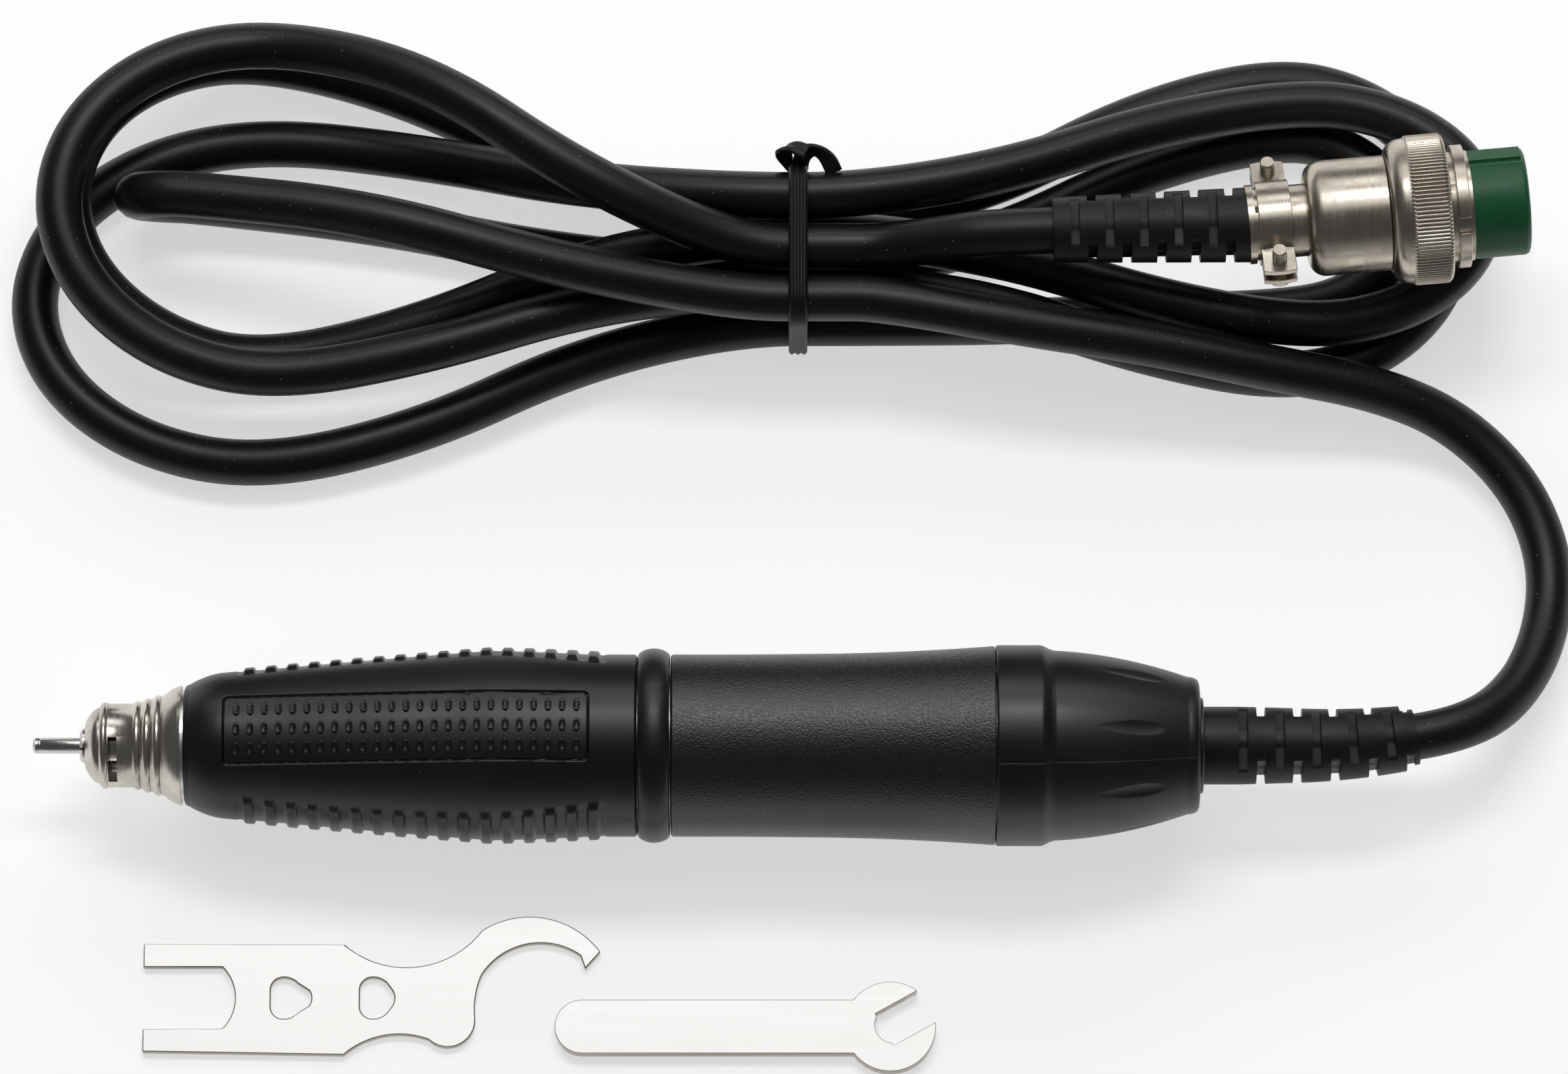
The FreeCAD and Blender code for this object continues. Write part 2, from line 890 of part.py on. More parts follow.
def stator_winding():
    """Winding of a slotless motor: a ring of overlapping lobes glued inside the core."""
    half = winding_length / 2
    start, end = motor_middle() - half, motor_middle() + half
    body = tube(start, end, winding_bore, stator_bore - press_gap)
    groove = Part.makeCylinder(winding_groove, end - start + 2, Vec(start - 1, 0, winding_bore), Vec(1, 0, 0))
    for cut in spread(groove, winding_lobes):
        body = body.cut(cut)
    return body


def motor_tube():
    outer = motor_tube_radius
    return tube(motor_tube_front + side_gap, motor_tube_end, outer - motor_tube_wall, outer)


def motor_housing():
    start = roll_ring_end + side_gap
    middle = (housing_mid_at, housing_mid_radius)
    rear = (housing_end, housing_rear_radius)
    outline = [
        (start, motor_tube_radius),
        (start, housing_front_radius - edge_break),
        (start + 2 * edge_break, housing_front_radius),
        (housing_plain_end, housing_front_radius + housing_plain_growth),
    ]
    outline += arc_points(middle, rear, housing_hollow, curve_steps)
    outline.append((housing_end, motor_tube_radius))
    return revolve(outline)


def board_place():
    return rear_bell_at + bell_length + board_gap


def sensor_board():
    return tube(board_place(), board_place() + board_thickness, motor_bearing_inner, board_radius)


def motor_leads():
    """Thin conductors from the cable's end to the sensor board."""
    start = board_place() + board_thickness
    bend_one = start + lead_straight
    bend_two = inner_cable_start - lead_straight
    wide = board_radius - lead_fan
    wires = []
    for k in range(lead_count):
        turn = math.radians(360.0 * k / lead_count)
        out = Vec(0, math.sin(turn), math.cos(turn))
        points = [
            Vec(start, 0, 0) + out * wide,
            Vec(bend_one, 0, 0) + out * wide,
            Vec(bend_two, 0, 0) + out * lead_circle,
            Vec(inner_cable_start, 0, 0) + out * lead_circle,
        ]
        wires.append(pipe(points, lead_radius))
    return Part.makeCompound(wires)


# Rear cap, relief and the cable inside them

def rear_cap():
    start = housing_end
    thread_end = motor_tube_end
    inner_band = cap_step_radius - cap_wall
    outline = [
        (start, motor_tube_radius),
        (start, cap_band_radius - edge_break),
        (start + edge_break, cap_band_radius),
        (cap_band_end - cap_band_edge, cap_band_radius),
        (cap_band_end, cap_band_radius - cap_band_drop),
        (cap_step_end, cap_step_radius),
    ]
    step = (cap_step_end, cap_step_radius)
    taper = (cap_taper_end, cap_taper_radius)
    outline += arc_points(step, taper, cap_taper_bulge, curve_steps)[1:]
    outline += arc_points(taper, (cap_end, cap_end_radius), cap_end_bulge, corner_steps)[1:]
    outline += [
        (cap_end, boss_neck_radius),
        (cap_end - cap_wall, boss_neck_radius),
    ]
    outline += arc_points(
        (cap_end - cap_wall, cap_taper_radius - cap_wall),
        (cap_step_end, inner_band),
        cap_taper_bulge,
        corner_steps,
    )
    outline += [(thread_end, inner_band), (thread_end, motor_tube_radius)]
    return revolve(outline)


def cap_boss():
    """Ring that screws into the cap's end and holds the relief's foot."""
    return revolve([
        (cap_end - cap_wall, relief_radius + running_gap),
        (cap_end - cap_wall, boss_neck_radius - press_gap),
        (cap_end, boss_neck_radius - press_gap),
        (cap_end, boss_radius),
        (cap_end + boss_length - edge_break, boss_radius),
        (cap_end + boss_length, boss_radius - edge_break),
        (cap_end + boss_length, relief_radius + running_gap),
    ])


def relief_axis(x):
    """Centre and direction of the handpiece relief at x: straight, then bent towards +Y."""
    run = max(0.0, x - relief_straight_end)
    if run == 0.0:
        return Vec(x, 0, 0), Vec(1, 0, 0)
    length = cap_end + relief_length - relief_straight_end
    radius = length / math.sin(math.radians(relief_bend))
    angle = math.asin(run / radius)
    return Vec(x, radius * (1 - math.cos(angle)), 0), Vec(math.cos(angle), math.sin(angle), 0)


def relief_end_x():
    return cap_end + relief_length


def disc_wire(centre, direction, radius):
    return Part.Wire([Part.makeCircle(radius, centre, direction)])


def bent_cone(stations):
    """Solid through round sections at (x, radius) along the handpiece relief's axis."""
    wires = [disc_wire(*relief_axis(x), radius) for x, radius in stations]
    return Part.makeLoft(wires, True, True)


def relief_slots(places, axis_at, width, reach, web, side_first):
    """Slots in pairs on opposite sides, in turn across and along the view, that let the relief bend."""
    slots = []
    for k, place in enumerate(places):
        for part in (0, 1):
            at = place + part * (places[1] - places[0]) / 2
            centre, direction = axis_at(at)
            for sign in (-1, 1):
                if part == side_first:
                    low, high = Vec(-width / 2, sign * web / 2, -reach), Vec(width / 2, sign * reach, reach)
                else:
                    low, high = Vec(-width / 2, -reach, sign * web / 2), Vec(width / 2, reach, sign * reach)
                box = block(
                    Vec(low.x, min(low.y, high.y), min(low.z, high.z)),
                    Vec(high.x, max(low.y, high.y), max(low.z, high.z)),
                )
                box.rotate(Vec(0, 0, 0), Vec(0, 0, 1), math.degrees(math.atan2(direction.y, direction.x)))
                box.translate(centre)
                slots.append(box)
    return slots


def handpiece_relief():
    start = cap_end - cap_wall
    ring_start = relief_end_x() - relief_end_ring
    body = bent_cone([
        (start, relief_radius),
        (relief_taper_start, relief_radius),
        (relief_straight_end, relief_radius - relief_taper_drop),
        ((relief_straight_end + ring_start) / 2, relief_end_radius + relief_mid_extra),
        (ring_start, relief_end_radius),
    ])
    end_ring = bent_cone([
        (ring_start - edge_break, relief_end_ring_radius),
        (relief_end_x(), relief_end_ring_radius),
    ])
    body = body.fuse(end_ring)
    foot = start - relief_foot_length
    flange = tube(foot, start, relief_radius - 1.0, boss_neck_radius + relief_foot_rim)
    body = body.fuse(flange)
    bore = cable_radius + sliding_gap
    stations = [(foot - 1.0, bore), (relief_straight_end, bore)]
    bent_length = relief_end_x() + 1.0 - relief_straight_end
    for k in range(1, relief_bore_steps + 1):
        stations.append((relief_straight_end + bent_length * k / relief_bore_steps, bore))
    body = body.cut(bent_cone(stations))
    places = [cap_end + relief_first_slot + relief_slot_pitch * k for k in range(relief_slot_count)]
    for slot in relief_slots(places, relief_axis, relief_slot_width, relief_radius + 1, 2 * relief_web, 1):
        body = body.cut(slot)
    return body


def inner_cable():
    """The cable from inside the rear cap to the end of the relief."""
    straight = rod(inner_cable_start, relief_straight_end, cable_radius)
    end, direction = relief_axis(relief_end_x())
    radius = end.y / (1 - math.cos(math.radians(relief_bend)))
    middle = math.radians(relief_bend / 2)
    start = Vec(relief_straight_end, 0, 0)
    halfway = Vec(start.x + radius * math.sin(middle), radius * (1 - math.cos(middle)), 0)
    path = Part.Wire([Part.Arc(start, halfway, end).toShape()])
    bent = path.makePipeShell([disc_wire(start, Vec(1, 0, 0), cable_radius)], True, False)
    return straight.fuse(bent).removeSplitter()


def cable_clamp():
    """Two half plates that grip the cable inside the cap, held by two screws."""
    start = clamp_plate_at
    reach = cap_step_radius - cap_wall - clamp_plate_margin
    plate = tube(start, start + clamp_plate_length, cable_radius + press_gap, reach)
    split = block(
        Vec(start - 1, -reach - 1, -clamp_screw_radius / 2),
        Vec(start + clamp_plate_length + 1, reach + 1, clamp_screw_radius / 2),
    )
    plate = plate.cut(split)
    for side in (-1, 1):
        plate = plate.cut(clamp_plate_screw(side, clamp_screw_radius + press_gap))
    return plate


def clamp_plate_screw(side, radius):
    middle = clamp_plate_at + clamp_plate_length / 2
    reach = clamp_plate_screw_reach
    place = Vec(middle, side * (cable_radius + 2 * clamp_screw_radius), -reach)
    return Part.makeCylinder(radius, 2 * reach, place)


def clamp_plate_screws():
    return Part.makeCompound([clamp_plate_screw(side, clamp_screw_radius) for side in (-1, 1)])


# Cord paths

def cord_path(points, report=None):
    """Straight runs joined by tangent arcs, each as large as its two runs allow."""
    edges = []
    start = points[0]
    radii = []
    for k in range(1, len(points) - 1):
        before = points[k] - points[k - 1]
        after = points[k + 1] - points[k]
        turn = before.getAngle(after)
        reach = 0.45 * min(before.Length, after.Length)
        radii.append(reach / math.tan(turn / 2))
        into = points[k] - before.normalize() * reach
        out = points[k] + after.normalize() * reach
        inward = (into + out) * 0.5 - points[k]
        radius = radii[-1]
        centre = points[k] + inward.normalize() * math.hypot(radius, reach)
        middle = centre + (points[k] - centre).normalize() * radius
        edges.append(Part.LineSegment(start, into).toShape())
        edges.append(Part.Arc(into, middle, out).toShape())
        start = out
    edges.append(Part.LineSegment(start, points[-1]).toShape())
    if report:
        print(report, "arc radii from", round(min(radii), 1), "to", round(max(radii), 1), "mm")
    return Part.Wire(edges)


def pipe(points, radius, report=None):
    path = cord_path(points, report)
    section = disc_wire(points[0], points[1] - points[0], radius)
    solid = path.makePipeShell([section], True, False)
    if report:
        exact = math.pi * radius ** 2 * path.Length
        print(report, "length", round(path.Length, 1), "mm, volume over section times length",
              round(solid.Volume / exact, 5))
    return solid


# Plug

def on_plug(shape, yaw=plug_yaw):
    """Moves a shape from the plug's own axis to its place on the cable."""
    moved = shape.copy()
    moved.rotate(Vec(0, 0, 0), Vec(0, 0, 1), yaw)
    moved.translate(plug_place)
    return moved


def plug_direction(yaw=plug_yaw):
    return Vec(math.cos(math.radians(yaw)), math.sin(math.radians(yaw)), 0)


def straight_axis(x):
    return Vec(x, 0, 0), Vec(1, 0, 0)


def plug_relief():
    start = -plug_relief_length
    body = revolve([
        (start, cable_radius + sliding_gap),
        (start, plug_relief_end_radius),
        (1, plug_relief_radius),
        (1, cable_radius + sliding_gap),
    ])
    first = start + plug_relief_first_slot
    places = [first + plug_relief_slot_pitch * k for k in range(plug_relief_slot_count)]
    reach = plug_relief_radius + 1
    for slot in relief_slots(places, straight_axis, relief_slot_width, reach, 2 * relief_web, 1):
        body = body.cut(slot)
    neck = on_plug(rod(0, neck_length, 2 * neck_radius))
    return on_plug(body, plug_relief_yaw).cut(neck)


def plug_core():
    """The cable inside the plug's relief and neck, to where its conductors fan out."""
    return pipe([
        plug_place - plug_direction(plug_relief_yaw) * plug_relief_length,
        plug_place,
        plug_place + plug_direction() * (neck_length + shell_wall),
    ], cable_radius)


def plug_neck():
    bore = cable_radius + sliding_gap
    return on_plug(revolve([
        (0, bore),
        (0, neck_flange_radius),
        (neck_flange_length, neck_flange_radius),
        (neck_flange_length, neck_radius),
        (neck_length, neck_radius),
        (neck_length, bore),
    ]))


def saddle_half(side):
    """Half of the cable clamp: a half ring with two ears, above or below the split."""
    start, end = saddle_start, saddle_start + saddle_width
    inner = neck_radius + press_gap
    ring = tube(start, end, inner, inner + saddle_thickness)
    ears = block(
        Vec(start, -saddle_ear_reach, saddle_split / 2),
        Vec(end, saddle_ear_reach, saddle_split / 2 + saddle_thickness),
    ).cut(rod(start - 1, end + 1, inner))
    keep = block(
        Vec(start - 1, -saddle_ear_reach - 1, saddle_split / 2),
        Vec(end + 1, saddle_ear_reach + 1, saddle_ear_reach),
    )
    half = ring.common(keep).fuse(ears)
    corners = Part.makeCylinder(saddle_ear_reach, through, Vec((start + end) / 2, 0, -through / 2))
    half = half.common(corners)
    for place in (-saddle_ear, saddle_ear):
        middle = Vec((start + end) / 2, place, -through / 2)
        hole = Part.makeCylinder(clamp_thread_radius + press_gap, through, middle)
        half = half.cut(hole)
    if side < 0:
        half = around_x(half, 180)
    return half.removeSplitter()


def clamp_halves():
    halves = Part.makeCompound([saddle_half(1), saddle_half(-1)])
    return on_plug(around_x(halves, saddle_roll))


def clamp_screws():
    top = saddle_split / 2 + saddle_thickness
    screws = []
    for side in (-1, 1):
        place = Vec(saddle_start + saddle_width / 2, side * saddle_ear, 0)
        thread = Part.makeCylinder(clamp_thread_radius, 2 * top + clamp_thread_tail, place - Vec(0, 0, top))
        foot = place - Vec(0, 0, top + clamp_head_height)
        head = Part.makeCylinder(clamp_head_radius, clamp_head_height, foot)
        slot = block(
            place - Vec(clamp_head_radius + 1, clamp_slot_half_width, top + clamp_head_height + 1),
            place + Vec(clamp_head_radius + 1, clamp_slot_half_width, -top - clamp_head_height * clamp_slot_share),
        )
        screws.append(thread.fuse(head).cut(slot).removeSplitter())
    return on_plug(around_x(Part.makeCompound(screws), saddle_roll))


def plug_shell():
    outline = [(shell_start, neck_radius + press_gap), (shell_start, shell_radius - shell_round)]
    for k in range(1, corner_steps + 1):
        angle = math.pi / 2 * k / corner_steps
        outline.append((
            shell_start + shell_round * (1 - math.cos(angle)),
            shell_radius - shell_round * (1 - math.sin(angle)),
        ))
    bore = plug_barrel_radius - shell_wall
    outline += [
        (shell_end - edge_break, shell_radius),
        (shell_end, shell_groove_radius),
        (shell_groove_end, shell_groove_radius),
        (shell_groove_end, bore),
        (shell_start + shell_round, bore),
        (shell_start + shell_wall, bore - shell_round + shell_wall),
        (shell_start + shell_wall, neck_radius + press_gap),
    ]
    return on_plug(revolve(outline))


def coupling_nut():
    end = nut_start + nut_length
    hub = shell_groove_radius + running_gap
    round_radius = nut_radius - nut_shoulder_drop
    outline = [(nut_start, hub), (nut_start, round_radius - nut_shoulder_rise)]
    for k in range(1, corner_steps + 1):
        angle = math.pi / 2 * k / corner_steps
        outline.append((
            nut_start + nut_shoulder * (1 - math.cos(angle)),
            round_radius - nut_shoulder_rise * (1 - math.sin(angle)),
        ))
    outline += [
        (nut_start + nut_shoulder, nut_radius),
        (end - nut_edge, nut_radius),
        (end, nut_radius - nut_edge),
        (end, nut_bore),
        (nut_start + nut_rim, nut_bore),
        (nut_start + nut_rim, hub),
    ]
    return on_plug(revolve(outline))


def plug_barrel():
    """Threaded inner barrel that carries the insulator; its collar stops the nut from coming off."""
    collar_end = nut_start + nut_rim + side_gap + plug_barrel_collar_length
    return on_plug(revolve([
        (shell_groove_end, insulator_inner + press_gap),
        (shell_groove_end, plug_barrel_radius + plug_barrel_collar),
        (collar_end, plug_barrel_radius + plug_barrel_collar),
        (collar_end, plug_barrel_radius),
        (plug_barrel_end, plug_barrel_radius),
        (plug_barrel_end, insulator_inner + press_gap),
    ]))


def retaining_ring():
    ring = tube(ring_start, ring_start + ring_length, plug_barrel_radius, ring_radius)
    notch = block(
        Vec(ring_start - 1, -ring_gap / 2, 0),
        Vec(ring_start + ring_length + 1, ring_gap / 2, ring_radius + 1),
    )
    return on_plug(ring.cut(around_x(notch, ring_gap_angle)))


def plug_insulator():
    start = insulator_inner_start
    body = revolve([
        (start, 0),
        (start, insulator_inner),
        (plug_barrel_end + press_gap, insulator_inner),
        (plug_barrel_end + press_gap, insulator_radius),
        (insulator_end - insulator_round, insulator_radius),
        (insulator_end - insulator_round * 0.3, insulator_radius - insulator_round * 0.3),
        (insulator_end, insulator_radius - insulator_round),
        (insulator_end, 0),
    ])
    key = block(
        Vec(plug_barrel_end + press_gap, -key_width / 2, insulator_radius - 1),
        Vec(insulator_end - insulator_round, key_width / 2, insulator_radius + key_height),
    )
    body = body.fuse(around_x(key, key_angle))
    for place in contact_places():
        body = body.cut(place_at(rod(start - 1, insulator_end + 1, contact_radius + press_gap), place))
    return on_plug(body.removeSplitter())


def contact_places():
    places = [Vec(0, 0, 0)]
    for k in range(contact_count):
        turn = math.radians(360.0 * k / contact_count)
        places.append(Vec(0, contact_circle * math.sin(turn), contact_circle * math.cos(turn)))
    return places


def place_at(shape, place):
    moved = shape.copy()
    moved.translate(place)
    return moved


def contact_sockets():
    end = insulator_end - contact_sunk
    socket = rod(end - contact_length, end, contact_radius)
    socket = socket.cut(rod(end - contact_length / 2, end + 1, contact_bore))
    return on_plug(Part.makeCompound([place_at(socket, place) for place in contact_places()]))


def plug_wires():
    """Conductors that fan out from the cable's end to the contacts."""
    start = neck_length + shell_wall
    end = insulator_end - contact_sunk - contact_length
    wires = []
    for place in contact_places():
        near = place * (lead_circle / contact_circle)
        if place.Length == 0:
            wires.append(rod(start, end, lead_radius))
            continue
        points = [
            Vec(start, 0, 0) + near,
            Vec(start + lead_fan, 0, 0) + near,
            Vec(end - lead_fan, 0, 0) + place,
            Vec(end, 0, 0) + place,
        ]
        wires.append(pipe(points, lead_radius))
    return on_plug(Part.makeCompound(wires))


# Spanners

def outline_face(segments, start):
    """Flat face from lines and arcs; a segment is an end point, or a point on the arc and its end."""
    edges = []
    here = start
    for segment in segments:
        end = segment[-1]
        if len(segment) == 1:
            edges.append(Part.LineSegment(here, end).toShape())
        else:
            edges.append(Part.Arc(here, segment[0], end).toShape())
        here = end
    return Part.Face(Part.Wire(edges))


def rounded_triangle(left, right, half_height):
    """Hole shaped like a triangle that points to +X, with rounded corners."""
    return outline_face([
        [Vec(left + 0.6, half_height - 0.5, 0), Vec(left + 2.0, half_height, 0)],
        [Vec(left + 3.1, half_height - 0.25, 0), Vec(left + 4.0, half_height - 0.9, 0)],
        [Vec(right - 0.3, 1.1, 0)],
        [Vec(right, 0, 0), Vec(right - 0.3, -1.1, 0)],
        [Vec(left + 4.0, -half_height + 0.9, 0)],
        [Vec(left + 3.1, -half_height + 0.25, 0), Vec(left + 2.0, -half_height, 0)],
        [Vec(left + 0.6, -half_height + 0.5, 0), Vec(left, -half_height + 1.9, 0)],
        [Vec(left, half_height - 1.9, 0)],
    ], Vec(left, half_height - 1.9, 0))


def combination_spanner():
    face = outline_face([
        [Vec(29.8, 8.1, 0)],
        [Vec(39.5, 4.7, 0), Vec(50.1, 10.3, 0)],
        [Vec(58.5, 12.3, 0), Vec(67.7, 7.0, 0)],
        [Vec(65.4, 4.4, 0)],
        [Vec(64.7, 6.4, 0)],
        [Vec(56.0, 7.9, 0), Vec(50.1, 3.4, 0)],
        [Vec(49.3, 0.5, 0), Vec(49.2, -3.0, 0)],
        [Vec(47.6, -6.6, 0), Vec(42.3, -6.3, 0)],
        [Vec(36.6, -5.6, 0), Vec(29.8, -8.6, 0)],
        [Vec(0, -8.1, 0)],
        [Vec(0, -slot_half_width, 0)],
        [Vec(slot_depth, -slot_half_width, 0)],
        [Vec(slot_depth + 1.9, 0, 0), Vec(slot_depth, slot_half_width, 0)],
        [Vec(0, slot_half_width, 0)],
        [Vec(0, 8.2, 0)],
    ], Vec(0, 8.2, 0))
    for left, right in ((18.9, 24.9), (32.1, 37.2)):
        face = face.cut(rounded_triangle(left, right, 3.1))
    plate = face.extrude(Vec(0, 0, combination_thickness))
    plate.translate(combination_place - Vec(0, 0, surface_drop))
    return plate.removeSplitter()


def open_end_spanner():
    thickness = open_end_thickness
    handle = block(
        Vec(-open_end_length + open_end_half_width, -open_end_half_width, 0),
        Vec(0, open_end_half_width, thickness),
    )
    tail = Part.makeCylinder(open_end_half_width, thickness, Vec(-open_end_length + open_end_half_width, 0, 0))
    head = Part.makeCylinder(open_end_head_radius, thickness)
    body = handle.fuse(tail).fuse(head)
    jaw = block(
        Vec(-jaw_depth + jaw_half_width * jaw_flat_share, -jaw_half_width, -1),
        Vec(open_end_head_radius + 2, jaw_half_width, thickness + 1),
    )
    throat = Part.makeCylinder(jaw_half_width, thickness + 2, Vec(-jaw_depth + jaw_half_width, 0, -1))
    jaw = jaw.fuse(throat)
    jaw.rotate(Vec(0, 0, 0), Vec(0, 0, 1), jaw_angle)
    body = body.cut(jaw)
    body.translate(open_end_place - Vec(0, 0, surface_drop))
    return body.removeSplitter()


# Hank: seven loops held by the tie, four to the left and three to the right

def on_surface(place):
    x, y, height = place
    return Vec(x, y, height - surface_drop)


def ease(part):
    """Grows smoothly from 0 to 1."""
    return (1 - math.cos(math.pi * part)) / 2


def strand_places():
    """Places of the eight strands in the tie, as (y, z): three on the surface, two between, three on top."""
    low = -surface_drop + tie_thickness + rest_gap / 2 + cable_radius
    places = {}
    for row, names in enumerate(strand_rows):
        for number, name in enumerate(names):
            column = (len(names) - 1) / 2 - number
            places[name] = (tie_y + strand_pitch * column, low + layer_pitch * row)
    return places


def loop_points(loop):
    """Points of one loop: out of the tie, round the loop's end and back into the tie.

    A run leaves the tie level and eases to the loop's widest place, with a lift at its middle.
    The end is half an ellipse from that place, over the far end, to the widest place of the way back.
    """
    side, leave, back, wide_x, first, far, second, lift_out, lift_back = loop
    places = strand_places()
    start_x = tie_x + side * waist
    far_x, far_z = far[0], far[1] - surface_drop
    y1, z1 = first[0], first[1] - surface_drop
    y2, z2 = second[0], second[1] - surface_drop
    points = []
    for k in range(run_steps):
        part = k / run_steps
        y, z = places[leave]
        lift = lift_out * math.sin(math.pi * part)
        points.append(Vec(
            start_x + (wide_x - start_x) * part,
            y + (y1 - y) * ease(part),
            z + (z1 - z) * ease(part) + lift,
        ))
    mid_y, mid_z = (y1 + y2) / 2, (z1 + z2) / 2
    for k in range(bulb_steps + 1):
        angle = math.pi / 2 - math.pi * k / bulb_steps
        points.append(Vec(
            wide_x + (far_x - wide_x) * math.cos(angle),
            mid_y + (y1 - y2) / 2 * math.sin(angle),
            mid_z + (z1 - z2) / 2 * math.sin(angle) + (far_z - mid_z) * math.cos(angle),
        ))
    for k in range(run_steps - 1, -1, -1):
        part = k / run_steps
        y, z = places[back]
        lift = lift_back * math.sin(math.pi * part)
        points.append(Vec(
            start_x + (wide_x - start_x) * part,
            y + (y2 - y) * ease(part),
            z + (z2 - z) * ease(part) + lift,
        ))
    return points


def hank_points():
    places = strand_places()
    end_x = tie_x + tie_width / 2 + cable_radius
    first_y, first_z = places[hank_loops[0][1]]
    last_y, last_z = places[hank_loops[-1][2]]
    points = [Vec(end_x, first_y, first_z)]
    for loop in hank_loops:
        points += loop_points(loop)
    points.append(Vec(end_x, last_y, last_z))
    return points


def least_gap(points, radius):
    """Smallest distance between stretches of a cord that lie next to each other, less its diameter."""
    path = cord_path(points)
    count = int(path.Length / 2.5)
    samples = path.discretize(Number=count)
    step = path.Length / (count - 1)
    skip = int(5 * radius / step) + 1
    least = 1e9
    for i, here in enumerate(samples):
        for there in samples[i + skip:]:
            least = min(least, (here - there).Length)
    return least - 2 * radius


def cable_hank():
    points = hank_points()
    print("cable_hank least gap to itself", round(least_gap(points, cable_radius), 2), "mm")
    return pipe(points, cable_radius, "cable_hank")


def cable_lead():
    end, direction = relief_axis(relief_end_x())
    points = [end, end + direction * lead_exit]
    points += [on_surface(place) for place in lead_places]
    entry = hank_points()[0]
    points.append(Vec(tie_x + waist + lead_entry, entry.y, entry.z))
    points.append(entry)
    return pipe(points, cable_radius, "cable_lead")


def plug_lead():
    out = hank_points()[-1]
    end = plug_place - plug_direction(plug_relief_yaw) * plug_relief_length
    points = [out, Vec(tie_x + waist + plug_lead_entry, out.y, out.z)]
    points += [on_surface(place) for place in plug_lead_places]
    points.append(end - plug_direction(plug_relief_yaw) * plug_lead_exit)
    points.append(end)
    return pipe(points, cable_radius, "plug_lead")


def round_frame(low, high, radius, x):
    """Face across X whose outline stays at the given radius outside the rectangle from low to high."""
    (y0, z0), (y1, z1) = low, high
    corner = radius * math.sqrt(0.5)
    start = Vec(x, y0, z0 - radius)
    return outline_face([
        [Vec(x, y1, z0 - radius)],
        [Vec(x, y1 + corner, z0 - corner), Vec(x, y1 + radius, z0)],
        [Vec(x, y1 + radius, z1)],
        [Vec(x, y1 + corner, z1 + corner), Vec(x, y1, z1 + radius)],
        [Vec(x, y0, z1 + radius)],
        [Vec(x, y0 - corner, z1 + corner), Vec(x, y0 - radius, z1)],
        [Vec(x, y0 - radius, z0)],
        [Vec(x, y0 - corner, z0 - corner), start],
    ], start)


def cable_tie():
    """Flat rubbery tie round the eight strands, its twisted ends curled up behind them."""
    places = list(strand_places().values())
    low = (min(y for y, z in places), min(z for y, z in places))
    high = (max(y for y, z in places), max(z for y, z in places))
    start = tie_x - tie_width / 2
    inner = cable_radius + rest_gap / 2
    inside = round_frame(low, high, inner, start)
    outside = round_frame(low, high, inner + tie_thickness, start)
    strap = outside.cut(inside).extrude(Vec(tie_width, 0, 0))
    knot = Vec(tie_x, high[0] + inner + tie_thickness / 2, high[1])
    for tail in tie_tails:
        strap = strap.fuse(pipe([knot + Vec(*place) for place in tail], tie_tail_radius))
    return strap.removeSplitter()


makers = [
    tool_shank, collet, drawbar, drawbar_springs, cross_pin, thrust_ring, chuck_spindle,
    spindle_outer_rings, spindle_inner_rings, spindle_balls, bearing_spacer, bearing_carrier,
    nose_cap, nose_barrel, head_tube,
    release_collar, cam_pins, cam_ring, grip_sleeve, roll_ring,
    coupling_front, coupling_rear, front_bell, rear_bell, motor_outer_rings, motor_inner_rings,
    motor_balls, motor_shaft, rotor_magnet, sensor_magnet, stator_core, stator_winding,
    motor_tube, motor_housing, sensor_board, motor_leads,
    rear_cap, cap_boss, handpiece_relief, inner_cable, cable_clamp, clamp_plate_screws,
    cable_lead, cable_hank, plug_lead, cable_tie,
    plug_relief, plug_core, plug_neck, clamp_halves, clamp_screws, plug_shell,
    coupling_nut, plug_barrel, retaining_ring, plug_insulator, contact_sockets, plug_wires,
    combination_spanner, open_end_spanner,
]

os.makedirs("parts", exist_ok=True)
for maker in makers:
    maker().exportStep(f"parts/{maker.__name__}.step")
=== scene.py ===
import bpy
import bmesh
import json
import numpy as np
from math import radians
from mathutils import Matrix


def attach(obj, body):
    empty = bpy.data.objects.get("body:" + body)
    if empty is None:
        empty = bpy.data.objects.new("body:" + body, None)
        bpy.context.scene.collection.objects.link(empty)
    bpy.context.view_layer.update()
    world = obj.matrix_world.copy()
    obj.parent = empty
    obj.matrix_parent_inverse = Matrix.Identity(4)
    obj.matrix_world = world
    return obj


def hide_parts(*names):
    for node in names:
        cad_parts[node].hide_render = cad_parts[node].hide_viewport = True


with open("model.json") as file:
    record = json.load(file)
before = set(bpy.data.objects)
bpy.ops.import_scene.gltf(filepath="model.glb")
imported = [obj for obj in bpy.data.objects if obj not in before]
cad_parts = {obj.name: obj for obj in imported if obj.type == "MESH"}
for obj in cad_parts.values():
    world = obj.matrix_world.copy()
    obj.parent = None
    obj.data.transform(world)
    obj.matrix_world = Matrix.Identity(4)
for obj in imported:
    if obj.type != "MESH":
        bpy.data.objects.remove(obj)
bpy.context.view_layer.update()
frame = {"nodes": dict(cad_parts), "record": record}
print("frame loaded,", len(frame["nodes"]), "nodes")

# All sizes below are in millimetres and degrees; meshes are scaled to metres when they are made.
# Along the handpiece x runs from the chuck to the cable. Round it, an angle of 0 points up and
# a positive angle turns towards -y, the side nearest the camera.

surfaceDrop = 14.84
scene = bpy.context.scene
scene.view_settings.view_transform = "Standard"


# camera

shot = {"target": (0.1038, 0.0318, 0.0), "distance": 1.6, "elevation": 75.5, "lens": 247.7}

